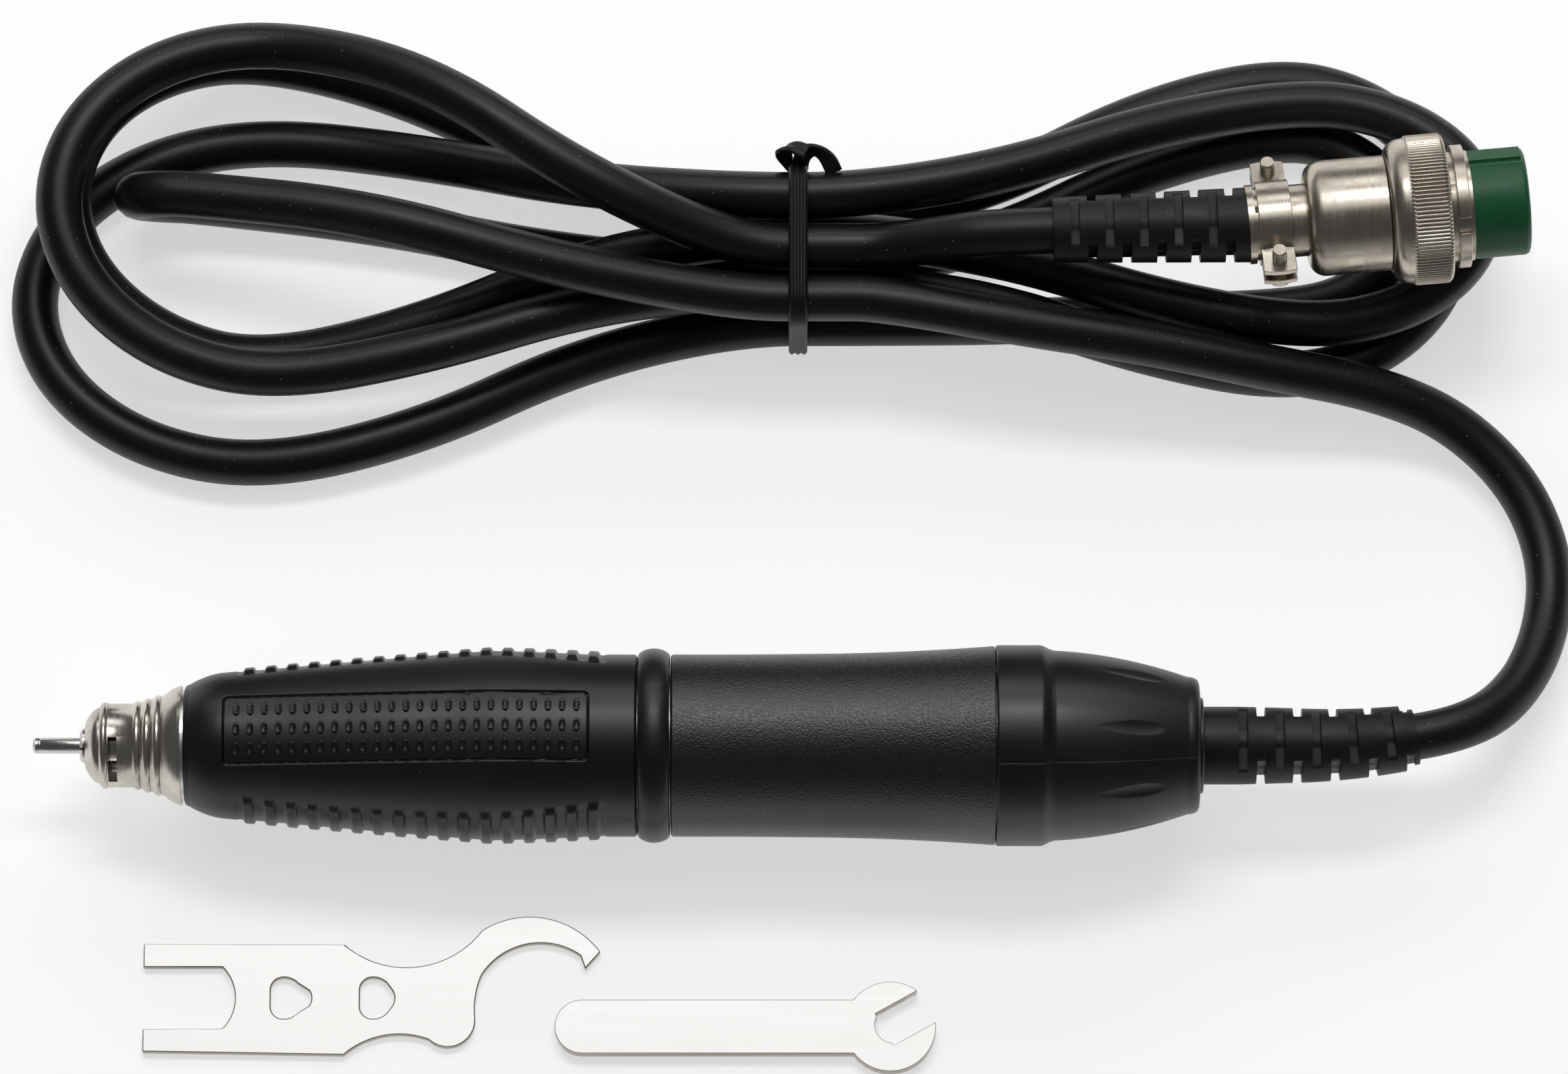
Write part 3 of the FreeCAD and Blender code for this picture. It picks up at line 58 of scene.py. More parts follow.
def placeCamera():
    lens = bpy.data.cameras.new("shotCamera")
    lens.lens = shot["lens"]
    lens.sensor_width = 36.0
    lens.clip_start, lens.clip_end = 0.01, 20.0
    camera = bpy.data.objects.new("shotCamera", lens)
    scene.collection.objects.link(camera)
    rise = radians(shot["elevation"])
    x, y, z = shot["target"]
    camera.location = (x, y - shot["distance"] * np.cos(rise), z + shot["distance"] * np.sin(rise))
    camera.rotation_euler = (radians(90.0 - shot["elevation"]), 0.0, 0.0)
    scene.camera = camera

placeCamera()


# node helpers for the finishes

def newFinish(name, color, rough, metal=0.0, specular=0.5):
    finish = bpy.data.materials.new(name)
    finish.use_nodes = True
    tree = finish.node_tree
    shader = tree.nodes["Principled BSDF"]
    shader.inputs["Base Color"].default_value = (*color, 1.0)
    shader.inputs["Roughness"].default_value = rough
    shader.inputs["Metallic"].default_value = metal
    shader.inputs["Specular IOR Level"].default_value = specular
    where = tree.nodes.new("ShaderNodeTexCoord")
    return finish, tree, shader, where.outputs["Object"]

def stretched(tree, where, scale, turn=(0.0, 0.0, 0.0)):
    mapping = tree.nodes.new("ShaderNodeMapping")
    mapping.inputs["Scale"].default_value = scale
    mapping.inputs["Rotation"].default_value = turn
    tree.links.new(where, mapping.inputs["Vector"])
    return mapping.outputs["Vector"]

def mottle(tree, where, scale, detail=3.0, rough=0.55):
    noise = tree.nodes.new("ShaderNodeTexNoise")
    noise.inputs["Scale"].default_value = scale
    noise.inputs["Detail"].default_value = detail
    noise.inputs["Roughness"].default_value = rough
    tree.links.new(where, noise.inputs["Vector"])
    return noise.outputs["Fac"]

def spread(tree, value, low, high, start=0.3, end=0.7):
    span = tree.nodes.new("ShaderNodeMapRange")
    span.inputs["From Min"].default_value = start
    span.inputs["From Max"].default_value = end
    span.inputs["To Min"].default_value = low
    span.inputs["To Max"].default_value = high
    tree.links.new(value, span.inputs["Value"])
    return span.outputs["Result"]

def blendColors(tree, factor, first, second):
    mix = tree.nodes.new("ShaderNodeMix")
    mix.data_type = "RGBA"
    tree.links.new(factor, mix.inputs[0])
    for socket, color in ((mix.inputs[6], first), (mix.inputs[7], second)):
        if isinstance(color, tuple):
            socket.default_value = (*color, 1.0)
        else:
            tree.links.new(color, socket)
    return mix.outputs[2]

def joined(tree, operation, first, second):
    node = tree.nodes.new("ShaderNodeMath")
    node.operation = operation
    for socket, value in zip(node.inputs, (first, second)):
        if isinstance(value, float):
            socket.default_value = value
        else:
            tree.links.new(value, socket)
    return node.outputs[0]

def raised(tree, shader, height, depth, strength=1.0):
    bump = tree.nodes.new("ShaderNodeBump")
    bump.inputs["Distance"].default_value = depth
    bump.inputs["Strength"].default_value = strength
    tree.links.new(height, bump.inputs["Height"])
    tree.links.new(bump.outputs["Normal"], shader.inputs["Normal"])

def specks(tree, where, scale, size, share):
    # small round dots, one in each chosen cell: 1 inside a dot, 0 outside
    cells = tree.nodes.new("ShaderNodeTexVoronoi")
    cells.inputs["Scale"].default_value = scale
    tree.links.new(where, cells.inputs["Vector"])
    near = spread(tree, cells.outputs["Distance"], 1.0, 0.0, size * 0.6, size)
    pick = tree.nodes.new("ShaderNodeSeparateColor")
    tree.links.new(cells.outputs["Color"], pick.inputs["Color"])
    chosen = joined(tree, "LESS_THAN", pick.outputs["Red"], share)
    return joined(tree, "MULTIPLY", near, chosen)


# finishes

def mouldedBlack():
    # moulded grip and cap: near black, satin, with a faint grain and slight polish where it is held
    finish, tree, shader, where = newFinish("mouldedBlack", (0.005, 0.005, 0.0053), 0.4, specular=0.6)
    cloud = mottle(tree, where, 55.0, 2.0)
    tree.links.new(spread(tree, cloud, 0.34, 0.44), shader.inputs["Roughness"])
    color = blendColors(tree, cloud, (0.004, 0.004, 0.0043), (0.0068, 0.0066, 0.0068))
    dust = specks(tree, where, 600.0, 0.06, 0.3)
    tree.links.new(blendColors(tree, dust, color, (0.16, 0.16, 0.16)), shader.inputs["Base Color"])
    raised(tree, shader, mottle(tree, where, 2600.0, 2.0), 0.00003, 0.5)
    return finish

def lacqueredBlack():
    # motor sleeve: fine crackle lacquer over metal
    finish, tree, shader, where = newFinish("lacqueredBlack", (0.006, 0.006, 0.0064), 0.4, specular=0.85)
    grain = mottle(tree, where, 3400.0, 1.5, 0.5)
    tree.links.new(spread(tree, grain, 0.3, 0.46), shader.inputs["Roughness"])
    cloud = mottle(tree, where, 40.0, 2.0)
    color = blendColors(tree, cloud, (0.0042, 0.0042, 0.0045), (0.007, 0.007, 0.0074))
    dust = specks(tree, where, 600.0, 0.06, 0.3)
    tree.links.new(blendColors(tree, dust, color, (0.2, 0.2, 0.2)), shader.inputs["Base Color"])
    raised(tree, shader, grain, 0.00009, 0.9)
    return finish

def cableRubber():
    # cable jacket: black with a brown cast, satin, dusted with fine pale specks
    finish, tree, shader, where = newFinish("cableRubber", (0.006, 0.0052, 0.005), 0.42, specular=0.42)
    cloud = mottle(tree, where, 45.0, 3.0)
    color = blendColors(tree, cloud, (0.0045, 0.0037, 0.0036), (0.0078, 0.0062, 0.0058))
    dust = specks(tree, where, 700.0, 0.075, 0.5)
    tree.links.new(blendColors(tree, dust, color, (0.34, 0.33, 0.32)), shader.inputs["Base Color"])
    tree.links.new(spread(tree, cloud, 0.36, 0.47), shader.inputs["Roughness"])
    raised(tree, shader, mottle(tree, where, 900.0, 3.0), 0.00003, 0.3)
    return finish

def reliefRubber():
    # strain reliefs and tie: softer, a little duller rubber
    finish, tree, shader, where = newFinish("reliefRubber", (0.007, 0.0068, 0.0066), 0.5, specular=0.4)
    cloud = mottle(tree, where, 120.0, 3.0)
    tree.links.new(spread(tree, cloud, 0.42, 0.56), shader.inputs["Roughness"])
    color = blendColors(tree, cloud, (0.0044, 0.0042, 0.0042), (0.008, 0.0076, 0.0074))
    dust = specks(tree, where, 500.0, 0.05, 0.3)
    tree.links.new(blendColors(tree, dust, color, (0.16, 0.15, 0.14)), shader.inputs["Base Color"])
    raised(tree, shader, mottle(tree, where, 1800.0, 2.0), 0.00003, 0.4)
    return finish

def turnedNickel(name, color, wear, rough):
    # plated, turned metal: fine tool rings across x, cloudy plating and small pits
    finish, tree, shader, where = newFinish(name, color, rough, metal=1.0)
    rings = mottle(tree, stretched(tree, where, (9000.0, 60.0, 60.0)), 1.0, 2.0)
    cloud = mottle(tree, where, 160.0, 4.0, 0.65)
    dull = spread(tree, cloud, 0.0, wear, 0.45, 0.75)
    level = spread(tree, rings, rough * 0.8, rough * 1.25)
    tree.links.new(joined(tree, "ADD", level, dull), shader.inputs["Roughness"])
    shade = tuple(0.72 * c for c in color)
    base = blendColors(tree, spread(tree, cloud, 0.0, 1.0, 0.4, 0.72), color, shade)
    pits = specks(tree, where, 1100.0, 0.1, 0.25)
    dark = tuple(0.35 * c for c in color)
    tree.links.new(blendColors(tree, pits, base, dark), shader.inputs["Base Color"])
    raised(tree, shader, rings, 0.000006, 0.35)
    return finish

def plateNickel():
    # stamped spanners: bright flat faces; painted shade darkens the sheared edges, by how far the surface
    # turns from facing up
    finish, tree, shader, where = newFinish("plateNickel", (0.93, 0.92, 0.9), 0.22, metal=1.0)
    facing = tree.nodes.new("ShaderNodeNewGeometry")
    parts = tree.nodes.new("ShaderNodeSeparateXYZ")
    tree.links.new(facing.outputs["True Normal"], parts.inputs["Vector"])
    # painted shade: the mask below is 0 on walls that face sideways, which get a dark brown colour, and 1 on
    # faces turned up
    paintedShadeMask = spread(tree, joined(tree, "ABSOLUTE", parts.outputs["Z"], 0.0), 0.0, 1.0, 0.55, 0.9)
    lines = mottle(tree, stretched(tree, where, (40.0, 1500.0, 1500.0)), 1.0, 3.0)
    bright = blendColors(tree, spread(tree, lines, 0.0, 1.0), (0.9, 0.89, 0.87), (0.97, 0.965, 0.95))
    tree.links.new(blendColors(tree, paintedShadeMask, (0.34, 0.29, 0.24), bright), shader.inputs["Base Color"])
    tree.links.new(spread(tree, lines, 0.14, 0.22), shader.inputs["Roughness"])
    raised(tree, shader, lines, 0.000004, 0.3)
    return finish

def groundSteel():
    # shank, pins and bearings: ground metal with fine rings across x
    finish, tree, shader, where = newFinish("groundSteel", (0.62, 0.61, 0.59), 0.24, metal=1.0)
    rings = mottle(tree, stretched(tree, where, (7000.0, 80.0, 80.0)), 1.0, 2.0)
    tree.links.new(spread(tree, rings, 0.16, 0.34), shader.inputs["Roughness"])
    cloud = mottle(tree, where, 220.0, 3.0)
    color = blendColors(tree, cloud, (0.5, 0.49, 0.47), (0.7, 0.69, 0.67))
    tree.links.new(color, shader.inputs["Base Color"])
    raised(tree, shader, rings, 0.000005, 0.3)
    return finish

def turnedAluminium():
    # inner tubes and end plates: duller metal with coarser tool rings
    finish, tree, shader, where = newFinish("turnedAluminium", (0.72, 0.72, 0.73), 0.34, metal=1.0)
    rings = mottle(tree, stretched(tree, where, (5000.0, 50.0, 50.0)), 1.0, 2.0)
    tree.links.new(spread(tree, rings, 0.26, 0.42), shader.inputs["Roughness"])
    color = blendColors(tree, rings, (0.62, 0.62, 0.63), (0.78, 0.78, 0.79))
    tree.links.new(color, shader.inputs["Base Color"])
    raised(tree, shader, rings, 0.000006, 0.4)
    return finish

def contactBrass():
    # contacts, wires and winding: warm metal, faintly cloudy
    finish, tree, shader, where = newFinish("contactBrass", (0.78, 0.56, 0.3), 0.28, metal=1.0)
    cloud = mottle(tree, where, 700.0, 3.0)
    tree.links.new(spread(tree, cloud, 0.2, 0.42), shader.inputs["Roughness"])
    color = blendColors(tree, cloud, (0.6, 0.4, 0.2), (0.85, 0.64, 0.38))
    tree.links.new(color, shader.inputs["Base Color"])
    return finish

def insulatorGreen():
    # moulded insert: deep green, satin, faintly cloudy
    finish, tree, shader, where = newFinish("insulatorGreen", (0.011, 0.125, 0.048), 0.42, specular=0.4)
    cloud = mottle(tree, where, 260.0, 3.0)
    color = blendColors(tree, cloud, (0.008, 0.1, 0.038), (0.014, 0.145, 0.056))
    tree.links.new(color, shader.inputs["Base Color"])
    tree.links.new(spread(tree, cloud, 0.36, 0.5), shader.inputs["Roughness"])
    raised(tree, shader, mottle(tree, where, 1500.0, 2.0), 0.00002, 0.35)
    return finish

def circuitBoard():
    # sensor board: green, half glossy, with a woven grain
    finish, tree, shader, where = newFinish("circuitBoard", (0.02, 0.12, 0.05), 0.3)
    weave = mottle(tree, where, 900.0, 2.0)
    color = blendColors(tree, weave, (0.012, 0.09, 0.035), (0.03, 0.16, 0.07))
    tree.links.new(color, shader.inputs["Base Color"])
    tree.links.new(spread(tree, weave, 0.24, 0.4), shader.inputs["Roughness"])
    return finish

finishes = {
    "satin_black": mouldedBlack(),
    "black_lacquer": lacqueredBlack(),
    "black_rubber": reliefRubber(),
    "nickel": turnedNickel("noseNickel", (0.66, 0.62, 0.56), 0.12, 0.24),
    "plug_nickel": turnedNickel("plugNickel", (0.6, 0.54, 0.46), 0.2, 0.26),
    "steel": groundSteel(),
    "aluminium": turnedAluminium(),
    "copper": contactBrass(),
    "green_insert": insulatorGreen(),
    "board": circuitBoard(),
    "dark_plastic": mouldedBlack(),
    "cable": cableRubber(),
    "plate": plateNickel(),
}
plugNodes = ["plug_neck", "clamp_halves", "clamp_screws", "plug_barrel", "retaining_ring"]
for part in frame["record"]["subparts"]:
    chosen = "plug_nickel" if part["node"] in plugNodes else part["material_slot"]
    held = frame["nodes"][part["node"]].data.materials
    held.clear()
    held.append(finishes[chosen])
print("finishes made,", len(finishes))


# mesh helpers

def gridFaces(rows, columns, closed):
    # quads of a grid whose columns run once round; its rows close on themselves, or end in two caps
    row = np.arange(rows if closed else rows - 1)[:, None]
    column = np.arange(columns)[None, :]
    nextRow, nextColumn = (row + 1) % rows, (column + 1) % columns
    quads = np.stack([row * columns + column, row * columns + nextColumn,
                      nextRow * columns + nextColumn, nextRow * columns + column], axis=-1)
    first = np.arange(columns)
    caps = [] if closed else [first[::-1], first + (rows - 1) * columns]
    return quads.reshape(-1, 4), caps

def makePiece(name, grids, closed, finish, body, nodes=(), sharp=32.0):
    # grids holds one or more equal grids, (copies, rows, columns, 3), or is one grid without the copies;
    # the sum of a . (b x c + c x d) over the quads is negative where they point inwards; then all turn round
    grids = np.asarray(grids, dtype=float)
    grids = grids[None] if grids.ndim == 3 else grids
    copies, rows, columns = grids.shape[:3]
    quads, caps = gridFaces(rows, columns, closed)
    a, b, c, d = (grids[0].reshape(-1, 3)[quads[:, k]] for k in range(4))
    volume = np.einsum("ij,ij->i", a, np.cross(b, c) + np.cross(c, d)).sum()
    if not closed:
        for cap in caps:
            ring = grids[0].reshape(-1, 3)[cap]
            volume += np.einsum("ij,ij->i", np.broadcast_to(ring.mean(axis=0), ring.shape),
                                np.cross(ring, np.roll(ring, -1, axis=0))).sum()
    if volume < 0:
        quads = quads[:, ::-1]
        caps = [cap[::-1] for cap in caps]
    steps = np.arange(copies) * rows * columns
    faces = (quads[None] + steps[:, None, None]).reshape(-1, 4).tolist()
    for cap in caps:
        faces += (cap[None] + steps[:, None]).tolist()
    mesh = bpy.data.meshes.new(name)
    mesh.from_pydata(grids.reshape(-1, 3) * 0.001, [], faces)
    return dress(mesh, name, finish, body, nodes, sharp)

def dress(mesh, name, finish, body, nodes, sharp):
    mesh.polygons.foreach_set("use_smooth", np.ones(len(mesh.polygons), dtype=bool))
    mesh.set_sharp_from_angle(angle=radians(sharp))
    mesh.materials.clear()
    mesh.materials.append(finishes[finish])
    mesh.update()
    piece = bpy.data.objects.new(name, mesh)
    scene.collection.objects.link(piece)
    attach(piece, body)
    if nodes:
        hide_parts(*nodes)
    return piece

def smoothCopy(node, name, finish, body, sharp=28.0, bevel=0.0):
    # the node's own shape with its triangles joined, shaded round, with its edges eased where asked
    work = bmesh.new()
    work.from_mesh(frame["nodes"][node].data)
    bmesh.ops.remove_doubles(work, verts=work.verts, dist=2e-6)
    bmesh.ops.dissolve_limit(work, angle_limit=radians(0.4), verts=work.verts, edges=work.edges)
    mesh = bpy.data.meshes.new(name)
    work.to_mesh(mesh)
    work.free()
    piece = dress(mesh, name, finish, body, [node], sharp)
    if bevel:
        ease = piece.modifiers.new("easedEdges", "BEVEL")
        ease.width = bevel * 0.001
        ease.segments = 2
        ease.limit_method = "ANGLE"
        ease.angle_limit = radians(40.0)
        ease.harden_normals = False
    return piece

def eased(corners, rounding, steps=5):
    # closed outline with rounded corners: (1-t)^2 A + 2t(1-t) P + t^2 B between A and B beside corner P
    corners = np.asarray(corners, dtype=float)
    before, after = np.roll(corners, 1, axis=0) - corners, np.roll(corners, -1, axis=0) - corners
    lengthBefore, lengthAfter = np.linalg.norm(before, axis=1), np.linalg.norm(after, axis=1)
    reach = np.minimum(rounding, 0.45 * np.minimum(lengthBefore, lengthAfter))
    a = corners + before * (reach / lengthBefore)[:, None]
    b = corners + after * (reach / lengthAfter)[:, None]
    t = np.linspace(0.0, 1.0, steps)[None, :, None]
    curve = (1 - t) ** 2 * a[:, None] + 2 * t * (1 - t) * corners[:, None] + t ** 2 * b[:, None]
    return curve.reshape(-1, 2)

def turned(x, radius, angles):
    # surface of revolution: (x, -r sin a, r cos a), with one radius for each row or for each point
    a = np.radians(angles)[None, :]
    radius = np.asarray(radius, dtype=float)
    radius = radius[:, None] * np.ones_like(a) if radius.ndim == 1 else radius
    x = np.asarray(x, dtype=float)
    x = x[:, None] * np.ones_like(a) if x.ndim == 1 else x
    return np.stack([x, -radius * np.sin(a), radius * np.cos(a)], axis=-1)

def evenAngles(count):
    return np.arange(count) * 360.0 / count

def bulged(x, start, end, bulge):
    # shallow arc r0 + (r1 - r0) f + 4 bulge f (1 - f), with f the share of the way from start to end
    f = np.clip((x - start[0]) / (end[0] - start[0]), 0.0, 1.0)
    return start[1] + (end[1] - start[1]) * f + 4.0 * bulge * f * (1.0 - f)

def step(value, low, high):
    # smooth step from 0 below low to 1 above high
    t = np.clip((value - low) / (high - low), 0.0, 1.0)
    return t * t * (3.0 - 2.0 * t)

def lined(*spans):
    # sorted places from spans of (start, end, count)
    return np.unique(np.round(np.concatenate([np.linspace(a, b, n) for a, b, n in spans]), 4))


# cable: one line from the handpiece's relief through the hank to the plug's relief

cable = {
    "radius": 3.5,
    "tieX": 105.9, "tieY": 75.5, "tieWidth": 2.8, "tieThickness": 1.1, "restGap": 0.3,
    "strandPitch": 7.95, "layerPitch": 6.95, "waist": 9.0, "runSteps": 3, "bulbSteps": 6,
    "reliefEnd": (197.0, 1.338, 0.0), "reliefAngle": 9.0, "leadExit": 8.0, "leadEntry": 3.0,
    "leadPlaces": [
        (213.0, 9.8, 9.34), (217.6, 20.5, 5.34), (218.2, 32.0, 3.64), (213.5, 43.5, 3.64),
        (203.5, 52.5, 5.84), (191.5, 56.3, 9.64), (176.5, 58.2, 13.24), (158.0, 61.3, 16.64),
        (139.5, 63.6, 18.74),
    ],
    "plugLeadPlaces": [(126.0, 75.5, 22.04)],
    "plugLeadExit": 9.0,
    "strandRows": [["lowFar", "lowMiddle", "lowNear"], ["midFar", "midNear"],
                   ["topFar", "topMiddle", "topNear"]],
    # side, leaves by, comes back by, widest x, (y, height) out, (far x, height), (y, height) back, lifts
    "loops": [
        (-1, "topNear", "lowMiddle", 15.0, (83.3, 20.04), (6.8, 13.44), (86.4, 5.84), 4.8, -1.5),
        (1, "lowMiddle", "lowNear", 178.5, (97.2, 3.84), (196.8, 3.74), (69.3, 4.44), -0.4, -1.1),
        (-1, "lowNear", "topFar", 25.7, (45.1, 3.74), (-9.9, 3.64), (96.6, 3.84), 0.1, -2.6),
        (1, "topFar", "midFar", 182.0, (100.5, 11.44), (209.0, 11.34), (64.9, 11.44), 0.0, 1.5),
        (-1, "midFar", "lowFar", 25.2, (61.2, 4.04), (-4.5, 11.44), (109.6, 4.04), 2.3, -0.6),
        (1, "lowFar", "midNear", 178.0, (106.0, 4.44), (205.2, 3.64), (58.8, 4.34), 0.5, 2.7),
        (-1, "midNear", "topMiddle", 27.2, (56.5, 12.84), (-5.4, 18.84), (108.9, 14.64), 2.8, 11.2),
    ],
}
plug = {"place": (172.5, 76.9, 10.6), "yaw": 5.2, "reliefYaw": 1.6, "reliefLength": 28.8}

def strandPlaces():
    # (y, z) of each strand under the tie: rows one layer pitch apart, each centred on the tie
    low = -surfaceDrop + cable["tieThickness"] + cable["restGap"] / 2 + cable["radius"]
    return {
        name: (cable["tieY"] + cable["strandPitch"] * ((len(names) - 1) / 2 - number),
               low + cable["layerPitch"] * row)
        for row, names in enumerate(cable["strandRows"]) for number, name in enumerate(names)
    }

def runPoints(share, startX, wideX, place, widest, lift):
    # a run eases from the tie to the widest place: p0 + (p1 - p0)(1 - cos pi s)/2, lifted by sin pi s
    ease = (1.0 - np.cos(np.pi * share)) / 2.0
    return np.stack([
        startX + (wideX - startX) * share,
        place[0] + (widest[0] - place[0]) * ease,
        place[1] + (widest[1] - place[1]) * ease + lift * np.sin(np.pi * share),
    ], axis=-1)

def loopPoints(side, leave, back, wideX, first, far, second, liftOut, liftBack):
    # out along a run, half an ellipse from the widest place over the far end, and back along a run
    places = strandPlaces()
    startX = cable["tieX"] + side * cable["waist"]
    (y1, z1), (farX, farZ), (y2, z2) = [(a, height - surfaceDrop) for a, height in (first, far, second)]
    share = np.arange(cable["runSteps"]) / cable["runSteps"]
    a = np.pi / 2 - np.pi * np.arange(cable["bulbSteps"] + 1) / cable["bulbSteps"]
    bulb = np.stack([
        wideX + (farX - wideX) * np.cos(a),
        (y1 + y2) / 2 + (y1 - y2) / 2 * np.sin(a),
        (z1 + z2) / 2 + (z1 - z2) / 2 * np.sin(a) + (farZ - (z1 + z2) / 2) * np.cos(a),
    ], axis=-1)
    return np.concatenate([
        runPoints(share, startX, wideX, places[leave], (y1, z1), liftOut), bulb,
        runPoints(share[::-1], startX, wideX, places[back], (y2, z2), liftBack),
    ])

def routePoints():
    # relief, lead, tie, the loops in their order, tie, plug lead and the plug's relief, one after the other
    places = strandPlaces()
    end = np.array(cable["reliefEnd"])
    out = radians(cable["reliefAngle"])
    entry = cable["tieX"] + cable["waist"] + cable["leadEntry"]
    endX = cable["tieX"] + cable["tieWidth"] / 2 + cable["radius"]
    first, last = places[cable["loops"][0][1]], places[cable["loops"][-1][2]]
    lead = np.array(cable["leadPlaces"]) - (0.0, 0.0, surfaceDrop)
    plugLead = np.array(cable["plugLeadPlaces"]) - (0.0, 0.0, surfaceDrop)
    reliefWay = np.array([np.cos(radians(plug["reliefYaw"])), np.sin(radians(plug["reliefYaw"])), 0.0])
    reliefStart = np.array(plug["place"]) - reliefWay * plug["reliefLength"]
    return np.concatenate([
        [end, end + cable["leadExit"] * np.array([np.cos(out), np.sin(out), 0.0])],
        lead,
        [(entry, *first), (endX, *first)],
        *[loopPoints(*loop) for loop in cable["loops"]],
        [(endX, *last), (entry, *last)],
        plugLead,
        [reliefStart - reliefWay * cable["plugLeadExit"], reliefStart],
    ])

def makeCable():
    # one round tube, of order 3, on the points of the route
    points = routePoints() * 0.001
    curve = bpy.data.curves.new("cable", "CURVE")
    curve.dimensions = "3D"
    curve.bevel_depth = cable["radius"] * 0.001
    curve.bevel_resolution = 6
    curve.resolution_u = 10
    curve.use_fill_caps = True
    line = curve.splines.new("NURBS")
    line.points.add(len(points) - 1)
    line.points.foreach_set("co", np.column_stack([points, np.ones(len(points))]).ravel())
    line.order_u = 3
    line.use_endpoint_u = True
    curve.materials.append(finishes["cable"])
    piece = bpy.data.objects.new("cable", curve)
    scene.collection.objects.link(piece)
    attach(piece, "root")
    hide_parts("cable_lead", "cable_hank", "plug_lead")
    return piece

cablePiece = makeCable()
print("cable made")


# tie round the hank

tie = {
    "ribs": 3, "ribDepth": 0.26, "tailWidth": 2.5, "tailThickness": 0.85,
    "tails": [
        [(0.3, 0.0, 0.4), (0.7, 1.6, 2.4), (2.2, 2.0, 3.9), (4.3, 0.9, 3.6), (5.4, -1.1, 1.9)],
        [(-0.6, 0.0, -1.8), (-2.0, 1.5, 0.2), (-2.3, 2.2, 2.6), (-0.7, 2.3, 4.2), (1.3, 1.2, 4.6)],
    ],
    "twists": (70.0, -60.0),
}

def ribbedSection(width, thickness, ribs, depth, count=19):
    # flat strip: its outer side is t/2 - d (1 + cos(pi n (w + 1)))/2 over w from -1 to 1, its inner side plain
    w = np.linspace(-1.0, 1.0, count)
    edge = 1.0 - 0.35 * np.abs(w) ** 8
    outer = thickness / 2 * edge - depth * (1.0 + np.cos(np.pi * ribs * (w + 1.0))) / 2.0
    inner = -thickness / 2 * edge
    across = w * width / 2
    return np.concatenate([np.column_stack([across, outer]), np.column_stack([across, inner])[::-1]])

def tieBand():
    # round a rectangle at a constant distance: corner + R (cos a, sin a), a quarter turn at each corner
    places = np.array(list(strandPlaces().values()))
    (y0, z0), (y1, z1) = places.min(axis=0), places.max(axis=0)
    corners = np.array([(y1, z1), (y0, z1), (y0, z0), (y1, z0)])
    a = np.radians(np.linspace(0.0, 90.0, 12)[None, :] + 90.0 * np.arange(4)[:, None])
    outward = np.stack([np.cos(a), np.sin(a)], axis=-1).reshape(-1, 2)
    reach = cable["radius"] + cable["restGap"] / 2 + cable["tieThickness"] / 2
    middle = np.repeat(corners, 12, axis=0) + outward * reach
    section = ribbedSection(cable["tieWidth"], cable["tieThickness"], tie["ribs"], tie["ribDepth"])
    yz = middle[:, None] + outward[:, None] * section[None, :, 1, None]
    x = np.broadcast_to(cable["tieX"] + section[None, :, 0], yz.shape[:2])
    makePiece("cableTieBand", np.concatenate([x[..., None], yz], axis=-1), True, "black_rubber", "root",
              ["cable_tie"], sharp=50.0)
    return np.array([cable["tieX"], y1 + reach, z1])

def smoothed(points, rounds=4):
    # corners cut at a quarter and three quarters of each run, again and again
    points = np.asarray(points, dtype=float)
    for _ in range(rounds):
        a, b = points[:-1], points[1:]
        cut = np.stack([0.75 * a + 0.25 * b, 0.25 * a + 0.75 * b], axis=1).reshape(-1, 3)
        points = np.concatenate([points[:1], cut, points[-1:]])
    return points

def sweptStrip(points, section, twist):
    # section carried along a path, turned by twist from one end to the other
    along = np.gradient(points, axis=0)
    along /= np.linalg.norm(along, axis=1)[:, None]
    side = np.cross(along, (0.3, 0.9, 0.3))
    side /= np.linalg.norm(side, axis=1)[:, None]
    up = np.cross(side, along)
    turn = radians(twist) * np.linspace(0.0, 1.0, len(points))[:, None]
    wide, high = np.cos(turn) * side + np.sin(turn) * up, np.cos(turn) * up - np.sin(turn) * side
    return points[:, None] + wide[:, None] * section[None, :, :1] + high[:, None] * section[None, :, 1:]

knot = tieBand()
for number, (tail, twist) in enumerate(zip(tie["tails"], tie["twists"])):
    section = ribbedSection(tie["tailWidth"], tie["tailThickness"], 2, 0.1)
    strip = sweptStrip(smoothed(knot + np.array(tail)), section, twist)
    makePiece("cableTieTail" + str(number + 1), strip, False, "black_rubber", "root",
              sharp=50.0)
print("tie made")


# nose, chuck and shank

smoothCopy("tool_shank", "toolShank", "steel", "shank")
smoothCopy("collet", "colletHub", "steel", "drawbar")
smoothCopy("nose_cap", "noseCap", "nickel", "root", sharp=24.0)
smoothCopy("nose_barrel", "noseBarrel", "nickel", "root", sharp=24.0)
print("nose made")


# grip: swelling body with a dotted panel on top and ribbed pads on both flanks

